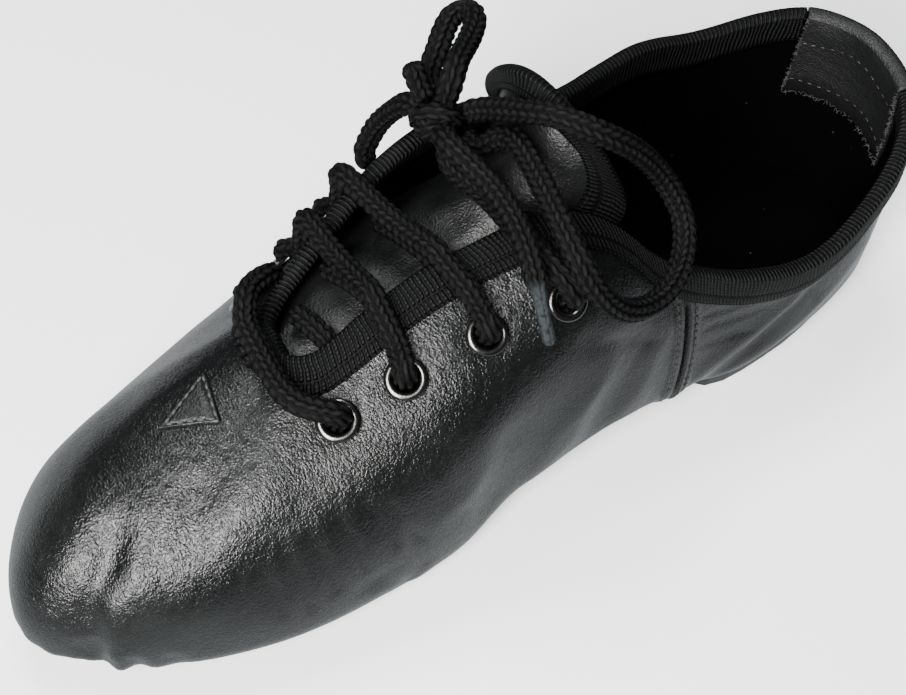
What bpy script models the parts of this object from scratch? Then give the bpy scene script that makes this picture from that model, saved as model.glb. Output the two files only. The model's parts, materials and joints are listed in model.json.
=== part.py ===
"""Lace-up jazz shoe for the right foot: soft leather upper, split sole, tongue, bindings and lace.

All lengths are in metres. +X points to the toe, +Y to the wearer's left (the inner side of this
right shoe) and +Z up. The shoe stands on z = 0, with the origin at the middle of the heel pad.
"""
import math

import bmesh
import bpy
import numpy as np
from mathutils import Vector

MM = 0.001

# Sizes of the last
LENGTH = 250 * MM
BALL_WIDTH = 86 * MM
INSTEP_HEIGHT = 72 * MM
BACK_HEIGHT = 62 * MM
TONGUE_HEIGHT = 97 * MM
TOE_SPRING = 4.0 * MM
ARCH_RISE = 6.5 * MM

# Thicknesses and clearance
GAP = 0.3 * MM
WALL = 1.6 * MM
TONGUE_WALL = 1.8 * MM
INSOLE_THICKNESS = 2.0 * MM
FOREFOOT_PAD = 2.4 * MM
HEEL_PAD = 5.6 * MM
TAPE_THICKNESS = 0.9 * MM
FOLD_GAP = 0.5 * MM
HEM_GAP = 0.74 * MM
TAB_GAP = 0.7 * MM
TAB_THICKNESS = 1.2 * MM
FOLD_CUT = 5 * MM

# Widths
LASTING_MARGIN = 12 * MM
INSOLE_INSET = 1.2 * MM
FOREFOOT_PAD_EDGE = 1.6 * MM
HEEL_PAD_EDGE = 2.4 * MM
ARCH_SEAM_GAP = 0.5 * MM
TAPE_WIDTH = 8 * MM
TAB_WIDTH = 36 * MM
TAB_OUTSIDE = 10 * MM
TAB_INSIDE = 26 * MM
TAB_SHIFT = 4 * MM
SEAM_RAISE = 0.5 * MM
SEAM_BAND = 5.5 * MM
SEAM_GROOVE = 0.9 * MM

# Eyelets and lace
EYELET_OUTER = 9.2 * MM
EYELET_HOLE = 5.0 * MM
EYELET_BARREL = 6.0 * MM
EYELET_LIFT = 0.5 * MM
EYELET_FLANGE = 0.9 * MM
LACE = 5.0 * MM
BAR_STEP = 4.0 * MM
LOOP_STEP = 6.2 * MM

# Roundings of the pads' free ends, and how far in from an edge its outward direction is read
FOREFOOT_PAD_ROUND = 14 * MM
HEEL_PAD_ROUND = 10 * MM
EDGE_PROBE = 0.5 * MM

# Places along the length, as shares of it
HEEL_REST = 0.18
HEEL_PAD_END = 0.325
FOREFOOT_PAD_START = 0.59
FOREFOOT_PAD_END = 0.955
SPRING_START = 0.82
SIDE_SEAM = 0.365
TOE_TURN = 0.84
HEEL_TURN = 0.17

# Share of a table row left free between the heel tab and the tape beside it
TAB_CLEAR = 0.05

# Points up each rib of the upper, above its widest place
RIB_STEPS = 9

# One rib of the upper a row, from the toe tip along the inner side to the heel and back along the
# outer side. x and top_x are shares of LENGTH; y, tuck and top_y are shares of BALL_WIDTH; wide is
# a share of INSTEP_HEIGHT and top_z a share of the height named last. The rib leaves the sole
# edge, is widest at (x, y, wide) and ends on the collar or throat at (top_x, top_y, top_z).
# rise and run are its fullness below and above, lean its slope at the top, in degrees, and closed
# is 1 where the two lasting margins meet under the arch.
RIB_COLUMNS = ("x", "y", "wide", "tuck", "top_x", "top_y", "top_z", "rise", "run", "lean",
               "closed", "height")
RIBS = (
    ("toe tip", 0.996, 0.050, 0.17, 0.11, 0.724, -0.030, 0.770, 0.34, 0.40, 24, 0, INSTEP_HEIGHT),
    ("toe inner", 0.978, 0.215, 0.16, 0.10, 0.727, 0.012, 0.770, 0.34, 0.40, 24, 0, INSTEP_HEIGHT),
    ("toe cheek", 0.920, 0.345, 0.15, 0.08, 0.727, 0.055, 0.774, 0.38, 0.42, 24, 0, INSTEP_HEIGHT),
    ("vamp inner", 0.842, 0.430, 0.15, 0.07, 0.712, 0.088, 0.785, 0.42, 0.42, 24, 0,
     INSTEP_HEIGHT),
    ("first eyelet", 0.766, 0.468, 0.16, 0.06, 0.688, 0.090, 0.815, 0.48, 0.42, 23, 0,
     INSTEP_HEIGHT),
    ("ball inner", 0.690, 0.476, 0.17, 0.05, 0.645, 0.082, 0.875, 0.52, 0.42, 21, 0,
     INSTEP_HEIGHT),
    ("third eyelet", 0.622, 0.466, 0.17, 0.06, 0.590, 0.082, 0.935, 0.56, 0.42, 17, 0,
     INSTEP_HEIGHT),
    ("waist front inner", 0.562, 0.420, 0.20, 0.12, 0.530, 0.105, 0.985, 0.60, 0.40, 17, 1,
     INSTEP_HEIGHT),
    ("waist inner", 0.496, 0.408, 0.22, 0.15, 0.475, 0.140, 1.000, 0.62, 0.38, 22, 1,
     INSTEP_HEIGHT),
    ("waist rear inner", 0.436, 0.402, 0.23, 0.15, 0.432, 0.218, 0.940, 0.58, 0.34, 38, 1,
     INSTEP_HEIGHT),
    ("throat corner inner", 0.388, 0.400, 0.23, 0.12, 0.397, 0.303, 0.825, 0.50, 0.30, 62, 1,
     INSTEP_HEIGHT),
    ("quarter inner", 0.336, 0.400, 0.21, 0.08, 0.344, 0.358, 0.715, 0.35, 0.30, 82, 0.4,
     INSTEP_HEIGHT),
    ("collar low inner", 0.280, 0.405, 0.20, 0.05, 0.286, 0.395, 0.735, 0.33, 0.33, 90, 0,
     BACK_HEIGHT),
    ("collar dip inner", 0.222, 0.402, 0.19, 0.05, 0.222, 0.410, 0.690, 0.33, 0.33, 92, 0,
     BACK_HEIGHT),
    ("heel side inner", 0.164, 0.382, 0.19, 0.05, 0.162, 0.385, 0.735, 0.33, 0.33, 90, 0,
     BACK_HEIGHT),
    ("heel turn inner", 0.100, 0.330, 0.19, 0.05, 0.098, 0.319, 0.820, 0.33, 0.33, 86, 0,
     BACK_HEIGHT),
    ("heel corner inner", 0.042, 0.222, 0.21, 0.05, 0.045, 0.200, 0.920, 0.33, 0.33, 80, 0,
     BACK_HEIGHT),
    ("heel back", 0.012, 0.000, 0.24, 0.05, 0.024, 0.000, 0.985, 0.36, 0.33, 76, 0, BACK_HEIGHT),
    ("heel corner outer", 0.042, -0.222, 0.21, 0.05, 0.045, -0.208, 0.985, 0.33, 0.33, 80, 0,
     BACK_HEIGHT),
    ("heel turn outer", 0.100, -0.330, 0.19, 0.05, 0.098, -0.322, 0.925, 0.33, 0.33, 85, 0,
     BACK_HEIGHT),
    ("heel side outer", 0.164, -0.380, 0.19, 0.05, 0.162, -0.385, 0.870, 0.33, 0.33, 88, 0,
     BACK_HEIGHT),
    ("collar dip outer", 0.226, -0.402, 0.19, 0.05, 0.224, -0.405, 0.900, 0.33, 0.33, 90, 0,
     BACK_HEIGHT),
    ("collar low outer", 0.296, -0.418, 0.20, 0.05, 0.290, -0.395, 0.885, 0.33, 0.33, 88, 0,
     BACK_HEIGHT),
    ("quarter outer", 0.366, -0.434, 0.20, 0.08, 0.352, -0.365, 0.775, 0.38, 0.30, 78, 0.4,
     INSTEP_HEIGHT),
    ("throat corner outer", 0.430, -0.450, 0.20, 0.11, 0.412, -0.335, 0.890, 0.40, 0.22, 62, 1,
     INSTEP_HEIGHT),
    ("waist rear outer", 0.490, -0.470, 0.20, 0.13, 0.466, -0.322, 0.965, 0.40, 0.18, 72, 1,
     INSTEP_HEIGHT),
    ("waist outer", 0.550, -0.490, 0.19, 0.12, 0.520, -0.298, 0.975, 0.40, 0.20, 76, 1,
     INSTEP_HEIGHT),
    ("ball rear outer", 0.606, -0.504, 0.18, 0.09, 0.575, -0.262, 0.950, 0.38, 0.20, 78, 0.2,
     INSTEP_HEIGHT),
    ("ball outer", 0.662, -0.500, 0.17, 0.07, 0.632, -0.215, 0.870, 0.34, 0.20, 78, 0,
     INSTEP_HEIGHT),
    ("second eyelet outer", 0.726, -0.470, 0.16, 0.07, 0.670, -0.172, 0.820, 0.28, 0.20, 76, 0,
     INSTEP_HEIGHT),
    ("vamp outer", 0.796, -0.415, 0.15, 0.07, 0.698, -0.138, 0.785, 0.24, 0.16, 68, 0,
     INSTEP_HEIGHT),
    ("toe cheek outer", 0.872, -0.335, 0.15, 0.08, 0.714, -0.105, 0.768, 0.24, 0.14, 50, 0,
     INSTEP_HEIGHT),
    ("toe outer", 0.944, -0.215, 0.16, 0.10, 0.722, -0.072, 0.765, 0.27, 0.20, 34, 0,
     INSTEP_HEIGHT),
)

# The tongue a row, from its sewn front end to its free top: x is a share of LENGTH, y of
# BALL_WIDTH, z of TONGUE_HEIGHT at the crown; half is half the width and drop how far the sides
# fall, as shares of BALL_WIDTH; sweep is how far they bend back and turn how far the inner one
# goes back and the outer one forward, as shares of LENGTH.
TONGUE_COLUMNS = ("x", "y", "z", "half", "drop", "sweep", "turn")
TONGUE = (
    (0.780, -0.026, 0.470, 0.100, 0.030, 0.000, 0.000),
    (0.735, -0.026, 0.500, 0.135, 0.050, 0.000, 0.000),
    (0.680, -0.032, 0.545, 0.178, 0.065, 0.000, 0.000),
    (0.620, -0.045, 0.592, 0.220, 0.080, 0.000, 0.000),
    (0.560, -0.050, 0.648, 0.230, 0.110, 0.004, 0.000),
    (0.515, -0.052, 0.720, 0.225, 0.165, 0.024, 0.000),
    (0.485, -0.050, 0.820, 0.222, 0.215, 0.043, 0.000),
    (0.470, -0.056, 0.915, 0.240, 0.225, 0.042, 0.009),
    (0.463, -0.070, 0.965, 0.262, 0.245, 0.032, 0.018),
)

# Rows up the tongue and columns across it, where its binding starts, and how its top rounds off
TONGUE_UP = np.linspace(0, 1, 17)
TONGUE_ACROSS = np.linspace(-1, 1, 11)
TONGUE_FREE = 0.60
TONGUE_ROUND = 0.80
TONGUE_TOP = 0.72

# Last share of the tongue's length at which its slope is read, and samples along a line of it
TONGUE_LAST = 0.985
TONGUE_SAMPLES = 12

# Colours and gloss: colour, roughness, metallic
FINISHES = {
    "leather": ((0.020, 0.021, 0.023), 0.42, 0.0),
    "binding": ((0.017, 0.018, 0.017), 0.85, 0.0),
    "lining": ((0.010, 0.010, 0.012), 0.9, 0.0),
    "rubber": ((0.016, 0.016, 0.017), 0.7, 0.0),
    "suede": ((0.020, 0.019, 0.018), 0.95, 0.0),
    "nickel": ((0.16, 0.16, 0.16), 0.3, 1.0),
    "lace": ((0.022, 0.023, 0.021), 0.85, 0.0),
}


def column(rows, columns, name, offset=0):
    """One named column of a table as numbers; offset skips a leading row name."""
    at = columns.index(name) + offset
    return np.array([row[at] for row in rows], float)


def along(values, at, closed):
    """Smooth curve through evenly numbered values (Catmull-Rom), read at a row number."""
    count = len(values)
    first = int(math.floor(at))
    if not closed:
        first = min(max(first, 0), count - 2)
    share = at - first
    index = [first - 1, first, first + 1, first + 2]
    if closed:
        a, b, c, d = (values[i % count] for i in index)
    else:
        b, c = values[index[1]], values[index[2]]
        a = values[index[0]] if index[0] >= 0 else 2 * b - c
        d = values[index[3]] if index[3] < count else 2 * c - b
    return 0.5 * (2 * b + (c - a) * share + (2 * a - 5 * b + 4 * c - d) * share ** 2
                  + (3 * b - a - 3 * c + d) * share ** 3)


def bezier(points, shares):
    """Cubic Bezier through four control points, read at several shares."""
    t = np.asarray(shares, float)[:, None]
    a, b, c, d = (np.asarray(p, float) for p in points)
    return (1 - t) ** 3 * a + 3 * (1 - t) ** 2 * t * b + 3 * (1 - t) * t ** 2 * c + t ** 3 * d


def unit(vector):
    """A vector or rows of vectors, each made one long."""
    vector = np.asarray(vector, float)
    return vector / np.linalg.norm(vector, axis=-1, keepdims=True)


class Last:
    """The form of the shoe: ribs read from the table, numbered by their row."""

    def __init__(self):
        scale = {"x": LENGTH, "top_x": LENGTH, "y": BALL_WIDTH, "top_y": BALL_WIDTH,
                 "tuck": BALL_WIDTH, "wide": INSTEP_HEIGHT}
        self.data = {}
        for name in RIB_COLUMNS:
            self.data[name] = column(RIBS, RIB_COLUMNS, name, 1) * scale.get(name, 1)
        self.data["top_z"] = self.data["top_z"] * self.data["height"]
        self.count = len(RIBS)
        self.heel = [row[0] for row in RIBS].index("heel back")

    def read(self, name, s):
        return along(self.data[name], s, True)

    def underside(self, x):
        """Height of the upper's outer face under the foot at x."""
        heel = HEEL_PAD + GAP
        fore = FOREFOOT_PAD + GAP
        start, end = HEEL_PAD_END * LENGTH, FOREFOOT_PAD_START * LENGTH
        share = min(max((x - start) / (end - start), 0), 1)
        ease = share * share * (3 - 2 * share)
        spring = max((x / LENGTH - SPRING_START) / (1 - SPRING_START), 0)
        arch = ARCH_RISE * math.sin(math.pi * share) ** 2
        return heel + (fore - heel) * ease + arch + TOE_SPRING * spring ** 2

    def outline(self, s):
        return np.array([self.read("x", s), self.read("y", s)])

    def inward(self, s):
        """Level direction square to the outline, into the shoe."""
        step = 0.05
        run = self.outline(s + step) - self.outline(s - step)
        run = run / np.linalg.norm(run)
        return np.array([-run[1], run[0], 0.0])

    def tuck_point(self, s, inset=0.0):
        """Where the rib turns under the foot."""
        point = self.outline(s) + self.inward(s)[:2] * (self.read("tuck", s) + inset)
        return np.array([point[0], point[1], self.underside(point[0])])

    def margin_point(self, s):
        """Inner end of the lasting margin; under the arch it meets the one from the other side."""
        corner = self.tuck_point(s)
        plain = corner + self.inward(s) * LASTING_MARGIN
        side = 1.0 if corner[1] > self.centre(corner[0]) else -1.0
        seam = np.array([corner[0], self.centre(corner[0]) + side * ARCH_SEAM_GAP / 2, 0.0])
        closed = min(max(self.read("closed", s), 0.0), 1.0)
        point = plain + (seam - plain) * closed
        point[2] = self.underside(point[0])
        return point

    def centre(self, x):
        """Middle line of the sole."""
        return -0.02 * BALL_WIDTH * math.sin(math.pi * min(x / LENGTH, 1.0))

    def rib(self, s, samples=24):
        """The wall's outer face on one rib, from the sole corner to the collar or throat."""
        x, y = self.outline(s)
        wide = np.array([x, y, self.read("wide", s)])
        corner = self.tuck_point(s)
        top = np.array([self.read(name, s) for name in ("top_x", "top_y", "top_z")])
        inward = self.inward(s)
        turn = 0.6
        low = bezier((corner, corner - inward * turn * self.read("tuck", s),
                      wide - (0, 0, turn * (wide[2] - corner[2])), wide),
                     np.linspace(0, 1, samples // 3, endpoint=False))
        reach = np.linalg.norm(top - wide)
        lean = math.radians(self.read("lean", s))
        arrive = inward * math.cos(lean) + np.array([0, 0, math.sin(lean)])
        high = bezier((wide, wide + (0, 0, self.read("rise", s) * reach),
                       top - arrive * self.read("run", s) * reach, top),
                      np.linspace(0, 1, samples))
        return np.vstack([low, high])

    def below_top(self, s, depths):
        """Points of the outer face at given lengths below the collar or throat edge."""
        rib = self.rib(s, 36)[::-1]
        length = np.concatenate([[0], np.cumsum(np.linalg.norm(np.diff(rib, axis=0), axis=1))])
        return np.stack([np.interp(depths, length, rib[:, i]) for i in range(3)], 1)

    def wall_frame(self, s, depths):
        """Points below the top edge with the outward normal and the upward direction there."""
        step = 0.04
        depths = np.asarray(depths, float)
        here = self.below_top(s, depths)
        run = self.below_top(s + step, depths) - self.below_top(s - step, depths)
        up = self.below_top(s, np.maximum(depths - 1 * MM, 0)) - self.below_top(s, depths + 1 * MM)
        normal = unit(np.cross(run, up))
        return here, normal, unit(up)


LAST = Last()


def finish(name):
    """The named material, made once."""
    material = bpy.data.materials.get(name)
    if material is None:
        colour, roughness, metallic = FINISHES[name]
        material = bpy.data.materials.new(name)
        material.use_nodes = True
        shader = material.node_tree.nodes["Principled BSDF"]
        shader.inputs["Base Color"].default_value = (*colour, 1)
        shader.inputs["Roughness"].default_value = roughness
        shader.inputs["Metallic"].default_value = metallic
        material.diffuse_color = (*colour, 1)
    return material


def place(point):
    """From the last's own x, which starts at the heel, to the part's frame."""
    return (float(point[0]) - HEEL_REST * LENGTH, float(point[1]), float(point[2]))


def solid(name, points, faces, material):
    """A smooth closed mesh object from points of the last's frame."""
    mesh = bpy.data.meshes.new(name)
    mesh.from_pydata([place(p) for p in points], [], faces)
    form = bmesh.new()
    form.from_mesh(mesh)
    bmesh.ops.recalc_face_normals(form, faces=form.faces)
    bmesh.ops.triangulate(form, faces=form.faces)
    form.to_mesh(mesh)
    form.free()
    mesh.shade_smooth()
    mesh.set_sharp_from_angle(angle=math.radians(40))
    thing = bpy.data.objects.new(name, mesh)
    thing.data.materials.append(finish(material))
    bpy.context.scene.collection.objects.link(thing)
    return thing


def grid_faces(rows, columns, wrap_rows=False, wrap_columns=False):
    """Quads of a grid of points numbered row by row."""
    faces = []
    for r in range(rows if wrap_rows else rows - 1):
        for c in range(columns if wrap_columns else columns - 1):
            a, b = r % rows, (r + 1) % rows
            d, e = c % columns, (c + 1) % columns
            faces.append((a * columns + d, b * columns + d, b * columns + e, a * columns + e))
    return faces


def loft(name, sections, material, closed=False):
    """A solid through closed sections with as many points each, closed at both ends."""
    sections = [np.asarray(s, float) for s in sections]
    rows, columns = len(sections), len(sections[0])
    points = list(np.vstack(sections))
    faces = grid_faces(rows, columns, wrap_rows=closed, wrap_columns=True)
    if not closed:
        faces.append(tuple(range(columns)))
        faces.append(tuple(range((rows - 1) * columns, rows * columns))[::-1])
    return solid(name, points, faces, material)


def seam_rows():
    """Row numbers of the inner and outer side seams, found from their place along the shoe."""
    found = []
    for low, high in ((1.0, LAST.heel), (LAST.heel, LAST.count - 1.0)):
        steps = np.linspace(low, high, 400)
        x = np.array([LAST.read("x", s) for s in steps])
        found.append(float(steps[np.argmin(np.abs(x - SIDE_SEAM * LENGTH))]))
    return found


def seam_step(s, seams):
    """How far the wall stands proud beside a side seam."""
    x = LAST.read("x", s)
    near = min(seams, key=lambda row: abs(row - s))
    away = abs(x - LAST.read("x", near))
    if abs(near - s) > 1 or away < SEAM_GROOVE / 2 or away > SEAM_BAND:
        return 0.0
    return SEAM_RAISE


def upper_columns(seams):
    """Row numbers at which the upper has a rib: closer round toe and heel and at the seams."""
    halves = np.arange(0, LAST.count, 0.5)
    x = np.array([LAST.read("x", s) for s in halves]) / LENGTH
    arch = (x > HEEL_PAD_END) & (x < FOREFOOT_PAD_START + 0.04)
    plain = halves[(halves % 1 == 0) | (x > TOE_TURN) | (x < HEEL_TURN) | arch]
    extra = []
    edges = (0.0, SEAM_GROOVE / 2 + 0.2 * MM, SEAM_BAND - 0.2 * MM, SEAM_BAND + 0.3 * MM)
    for seam in seams:
        pace = abs(LAST.read("x", seam + 0.1) - LAST.read("x", seam - 0.1)) / 0.2
        for away in edges:
            for side in (-1, 1):
                extra.append(seam + side * away / pace)
        plain = plain[np.abs(plain - seam) > (SEAM_BAND + 1.5 * MM) / pace]
    ends = tab_ends()
    plain = plain[np.min(np.abs(plain[:, None] - np.array(ends)), axis=1) > 0.12]
    return sorted(set(round(float(s), 4) for s in [*plain, *extra, *ends]))


def upper():
    """One hollow wall, open at collar and throat above and inside its lasting margin below."""
    seams = seam_rows()
    outer, inner = [], []
    for s in upper_columns(seams):
        rib = LAST.rib(s, RIB_STEPS)
        margin = LAST.margin_point(s)
        points = np.vstack([margin, rib])
        step = 0.05
        beside = []
        for other in (s - step, s + step):
            beside.append(np.vstack([LAST.margin_point(other), LAST.rib(other, RIB_STEPS)]))
        run = beside[1] - beside[0]
        up = np.gradient(points, axis=0)
        normal = unit(np.cross(run, up))
        normal[:2] = (0, 0, -1)
        proud = np.full((len(points), 1), seam_step(s, seams))
        proud[:RIB_STEPS // 3] = 0
        proud[-RIB_STEPS // 3:] = 0
        outer.append(points + normal * proud)
        inner.append(points - normal * WALL)
    count, height = len(outer), len(outer[0])
    points = list(np.vstack(outer + inner))
    skin = grid_faces(count, height, wrap_rows=True)
    shift = count * height
    faces = skin + [tuple(shift + i for i in reversed(face)) for face in skin]
    for c in range(count):
        after = (c + 1) % count
        for row in (0, height - 1):
            a, b = c * height + row, after * height + row
            faces.append((a, b, shift + b, shift + a))
    return solid("upper", points, faces, "leather")


def folded_edge(name, starts, wall, gap, thickness, outside, inside, material, frame):
    """A strip folded over an edge: frame(s, depths) gives points, outward normals and up."""
    near, far = gap, gap + thickness
    front = np.linspace(0, outside, max(int(outside / FOLD_CUT), 2) + 1)
    back = np.linspace(0, inside, max(int(inside / FOLD_CUT), 2) + 1)
    sections = []
    for s in starts:
        points, normal, up = frame(s, front)
        deep, deep_normal, _ = frame(s, back)
        over = up[0]
        outer = [p + n * far for p, n in zip(points, normal)]
        inner = [p - n * (wall + far) for p, n in zip(deep, deep_normal)]
        section = outer[::-1]
        section.append(points[0] + normal[0] * (near - wall / 4) + over * far)
        section.append(points[0] - normal[0] * (wall * 3 / 4 + near) + over * far)
        section += inner
        section += [p - n * (wall + near) for p, n in zip(deep[:0:-1], deep_normal[:0:-1])]
        section.append(deep[0] - deep_normal[0] * (wall + near) + over * near)
        section.append(points[0] + normal[0] * near + over * near)
        section += [p + n * near for p, n in zip(points[1:], normal[1:])]
        sections.append(section)
    return loft(name, sections, material)


def tab_ends():
    """Row numbers where the heel tab starts and ends, half its width to each side."""
    steps = np.linspace(LAST.heel - 3, LAST.heel + 3, 241)
    line = np.array([LAST.below_top(s, [0.0])[0] for s in steps])
    length = np.concatenate([[0], np.cumsum(np.linalg.norm(np.diff(line, axis=0), axis=1))])
    middle = np.interp(LAST.heel, steps, length) + TAB_SHIFT
    return [float(np.interp(middle + side * TAB_WIDTH / 2, length, steps)) for side in (-1, 1)]


def bindings():
    """Tape round the collar and throat, stopping at the tab folded over the heel."""
    start, end = tab_ends()
    columns = np.array(upper_columns(seam_rows()))
    rows = np.concatenate([[end + TAB_CLEAR], columns[columns > end + TAB_CLEAR],
                           columns[columns < start - TAB_CLEAR] + LAST.count,
                           [start - TAB_CLEAR + LAST.count]])
    folded_edge("collar_binding", rows, WALL, FOLD_GAP, TAPE_THICKNESS, TAPE_WIDTH, TAPE_WIDTH,
                "binding", LAST.wall_frame)
    rows = columns[(columns >= start - TAB_CLEAR) & (columns <= end + TAB_CLEAR)]
    folded_edge("heel_tab", rows, WALL, TAB_GAP, TAB_THICKNESS, TAB_OUTSIDE, TAB_INSIDE,
                "leather", LAST.wall_frame)


class Tongue:
    """The tongue's sheet: u runs up its length from 0 to 1, w across it from -1 to 1."""

    def __init__(self):
        scale = {"x": LENGTH, "y": BALL_WIDTH, "z": TONGUE_HEIGHT, "half": BALL_WIDTH,
                 "drop": BALL_WIDTH, "sweep": LENGTH, "turn": LENGTH}
        self.data = {name: column(TONGUE, TONGUE_COLUMNS, name) * scale[name]
                     for name in TONGUE_COLUMNS}
        self.last_row = len(TONGUE) - 1

    def point(self, u, w):
        """A point of the tongue's upper face."""
        x, y, z, half, drop, sweep, turn = (along(self.data[name], u * self.last_row, False)
                                            for name in TONGUE_COLUMNS)
        return np.array([x - sweep * w * w - turn * w, y + half * w, z - drop * w * w])

    def normal(self, u, w):
        step = 0.01
        run = self.point(u + step, w) - self.point(u - step, w)
        across = self.point(u, w + step) - self.point(u, w - step)
        return unit(np.cross(across, run))

    def spread(self, u):
        """Share of the width that the sheet keeps at u: its top corners are rounded."""
        start = TONGUE_ROUND
        turn = max((u - start) / (1 - start), 0.0)
        return math.sqrt(1 - (1 - TONGUE_TOP ** 2) * turn ** 3)

    def sheet(self):
        """The tongue as one sheet of its real thickness."""
        sections = []
        for u in TONGUE_UP:
            reach = TONGUE_ACROSS * self.spread(u)
            top = [self.point(u, w) for w in reach]
            under = [p - self.normal(u, w) * TONGUE_WALL for p, w in zip(top, reach)]
            sections.append(top + under[::-1])
        return loft("tongue", sections, "leather")

    def edge_path(self):
        """(u, w) along the free edge, up one side, over the top and down the other."""
        side = [(u, -self.spread(u)) for u in TONGUE_UP if u > TONGUE_FREE]
        top = [(1.0, w * self.spread(1.0)) for w in TONGUE_ACROSS[1:-1]]
        return side + top + [(u, -w) for u, w in reversed(side)]

    def edge_frame(self, at, depths):
        """Points in from the free edge with the face's normals and the outward direction."""
        u, w = self.edge_path()[at]
        middle = np.array([self.point(t, 0) for t in np.linspace(TONGUE_FREE, 1, TONGUE_SAMPLES)])
        across = np.array([self.point(u, t) for t in np.linspace(0, 1, TONGUE_SAMPLES)])
        hem_up = TAPE_WIDTH / np.linalg.norm(np.diff(middle, axis=0), axis=1).sum()
        hem_in = TAPE_WIDTH / np.linalg.norm(np.diff(across, axis=0), axis=1).sum()
        places = []
        for depth in (EDGE_PROBE, *depths):
            share = depth / TAPE_WIDTH
            fall = hem_up * (u - TONGUE_FREE)
            places.append((u - share * fall, w * (1 - share * hem_in)))
        points = np.array([self.point(*place) for place in places])
        normals = np.array([self.normal(min(place[0], TONGUE_LAST), place[1]) for place in places])
        out = unit(points[1] - points[0])
        return points[1:], normals[1:], np.array([out] * len(depths))

    def binding(self):
        rows = range(len(self.edge_path()))
        return folded_edge("tongue_binding", rows, TONGUE_WALL, HEM_GAP, TAPE_THICKNESS,
                           TAPE_WIDTH, TAPE_WIDTH, "binding", self.edge_frame)


def sole_edges(inset, start, end, count):
    """Stations from start to end along the sole with the inner and outer edge of its outline."""
    rows = np.linspace(0, LAST.count, 400, endpoint=False)
    ring = np.array([LAST.tuck_point(s, inset)[:2] for s in rows])
    heel = int(np.argmin(ring[:, 0]))
    inner, outer = ring[:heel + 1][::-1], ring[heel:]
    outer = np.vstack([outer, ring[:1]])
    inner = inner[np.argsort(inner[:, 0])]
    outer = outer[np.argsort(outer[:, 0])]
    low, high = max(start, ring[:, 0].min() + 0.2 * MM), min(end, ring[:, 0].max() - 0.2 * MM)
    turn = np.linspace(0, math.pi, count)
    x = (low + high) / 2 - (high - low) / 2 * np.cos(turn)
    return [(value, np.interp(value, inner[:, 0], inner[:, 1]),
             np.interp(value, outer[:, 0], outer[:, 1])) for value in x]


def sole_piece(name, stations, top, bottom, bevel, material):
    """A sole layer across each station, with top(x) and bottom(x) and its lower edge eased."""
    sections = []
    for x, inner, outer in stations:
        half = (inner - outer) / 2
        ease = min(bevel, half * 0.6)
        middle = (inner + outer) / 2
        section = [(x, y, top(x)) for y in (inner, middle, outer)]
        section += [(x, y, bottom(x)) for y in (outer + ease, middle, inner - ease)]
        sections.append(section)
    return loft(name, sections, material)


def shaped_end(stations, depth, at_end):
    """Round the free end of a sole pad by drawing its last stations in."""
    shaped = []
    edge = stations[-1][0] if at_end else stations[0][0]
    for x, inner, outer in stations:
        away = min(abs(x - edge) / depth, 1.0)
        width = 0.55 + 0.45 * math.sqrt(1 - (1 - away) ** 2)
        middle = (inner + outer) / 2
        shaped.append((x, middle + (inner - middle) * width, middle + (outer - middle) * width))
    return shaped


def soles():
    """Insole inside, and the split sole's two pads under the lasting margins."""
    inside = sole_edges(INSOLE_INSET, 0, LENGTH, 36)
    sole_piece("insole", inside, lambda x: LAST.underside(x) + WALL + GAP + INSOLE_THICKNESS,
               lambda x: LAST.underside(x) + WALL + GAP, 0.6 * MM, "lining")
    fore = sole_edges(-FOREFOOT_PAD_EDGE, FOREFOOT_PAD_START * LENGTH, FOREFOOT_PAD_END * LENGTH, 20)
    sole_piece("forefoot_pad", shaped_end(fore, FOREFOOT_PAD_ROUND, False),
               lambda x: LAST.underside(x) - GAP,
               lambda x: max(LAST.underside(x) - GAP - FOREFOOT_PAD, 0.0), 0.6 * MM, "suede")
    heel = sole_edges(-HEEL_PAD_EDGE, 0, HEEL_PAD_END * LENGTH, 16)
    sole_piece("heel_pad", shaped_end(heel, HEEL_PAD_ROUND, True),
               lambda x: LAST.underside(x) - GAP, lambda x: 0.0, 1.2 * MM, "rubber")


# Eyelets as (share of LENGTH, distance below the throat edge as a share of BALL_WIDTH)
INNER_EYELETS = ((0.716, 0.170), (0.654, 0.185), (0.579, 0.205), (0.507, 0.210))
OUTER_EYELETS = ((0.710, 0.165), (0.657, 0.165), (0.610, 0.168), (0.552, 0.172))


def eyelet_frames(places, side):
    """Centre, outward normal and direction to the throat for a row of eyelets."""
    frames = []
    low, high = (2.0, 10.0) if side > 0 else (LAST.count - 9.0, LAST.count - 1.0)
    steps = np.linspace(low, high, 200)
    for share, depth in places:
        x = np.array([LAST.below_top(s, [depth * BALL_WIDTH])[0][0] for s in steps])
        s = float(steps[np.argmin(np.abs(x - share * LENGTH))])
        points, normals, ups = LAST.wall_frame(s, [depth * BALL_WIDTH])
        frames.append((points[0], normals[0], ups[0], s, depth * BALL_WIDTH))
    return frames


def turned(name, centre, axis, profile, segments, material):
    """A closed ring turned about an axis: profile is (radius, height) round its section."""
    side = unit(np.cross(axis, (0.3, 1.0, 0.2)))
    front = np.cross(axis, side)
    sections = []
    for k in range(segments):
        angle = 2 * math.pi * k / segments
        out = side * math.cos(angle) + front * math.sin(angle)
        sections.append([centre + out * r + axis * h for r, h in profile])
    return loft(name, sections, material, closed=True)


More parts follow.
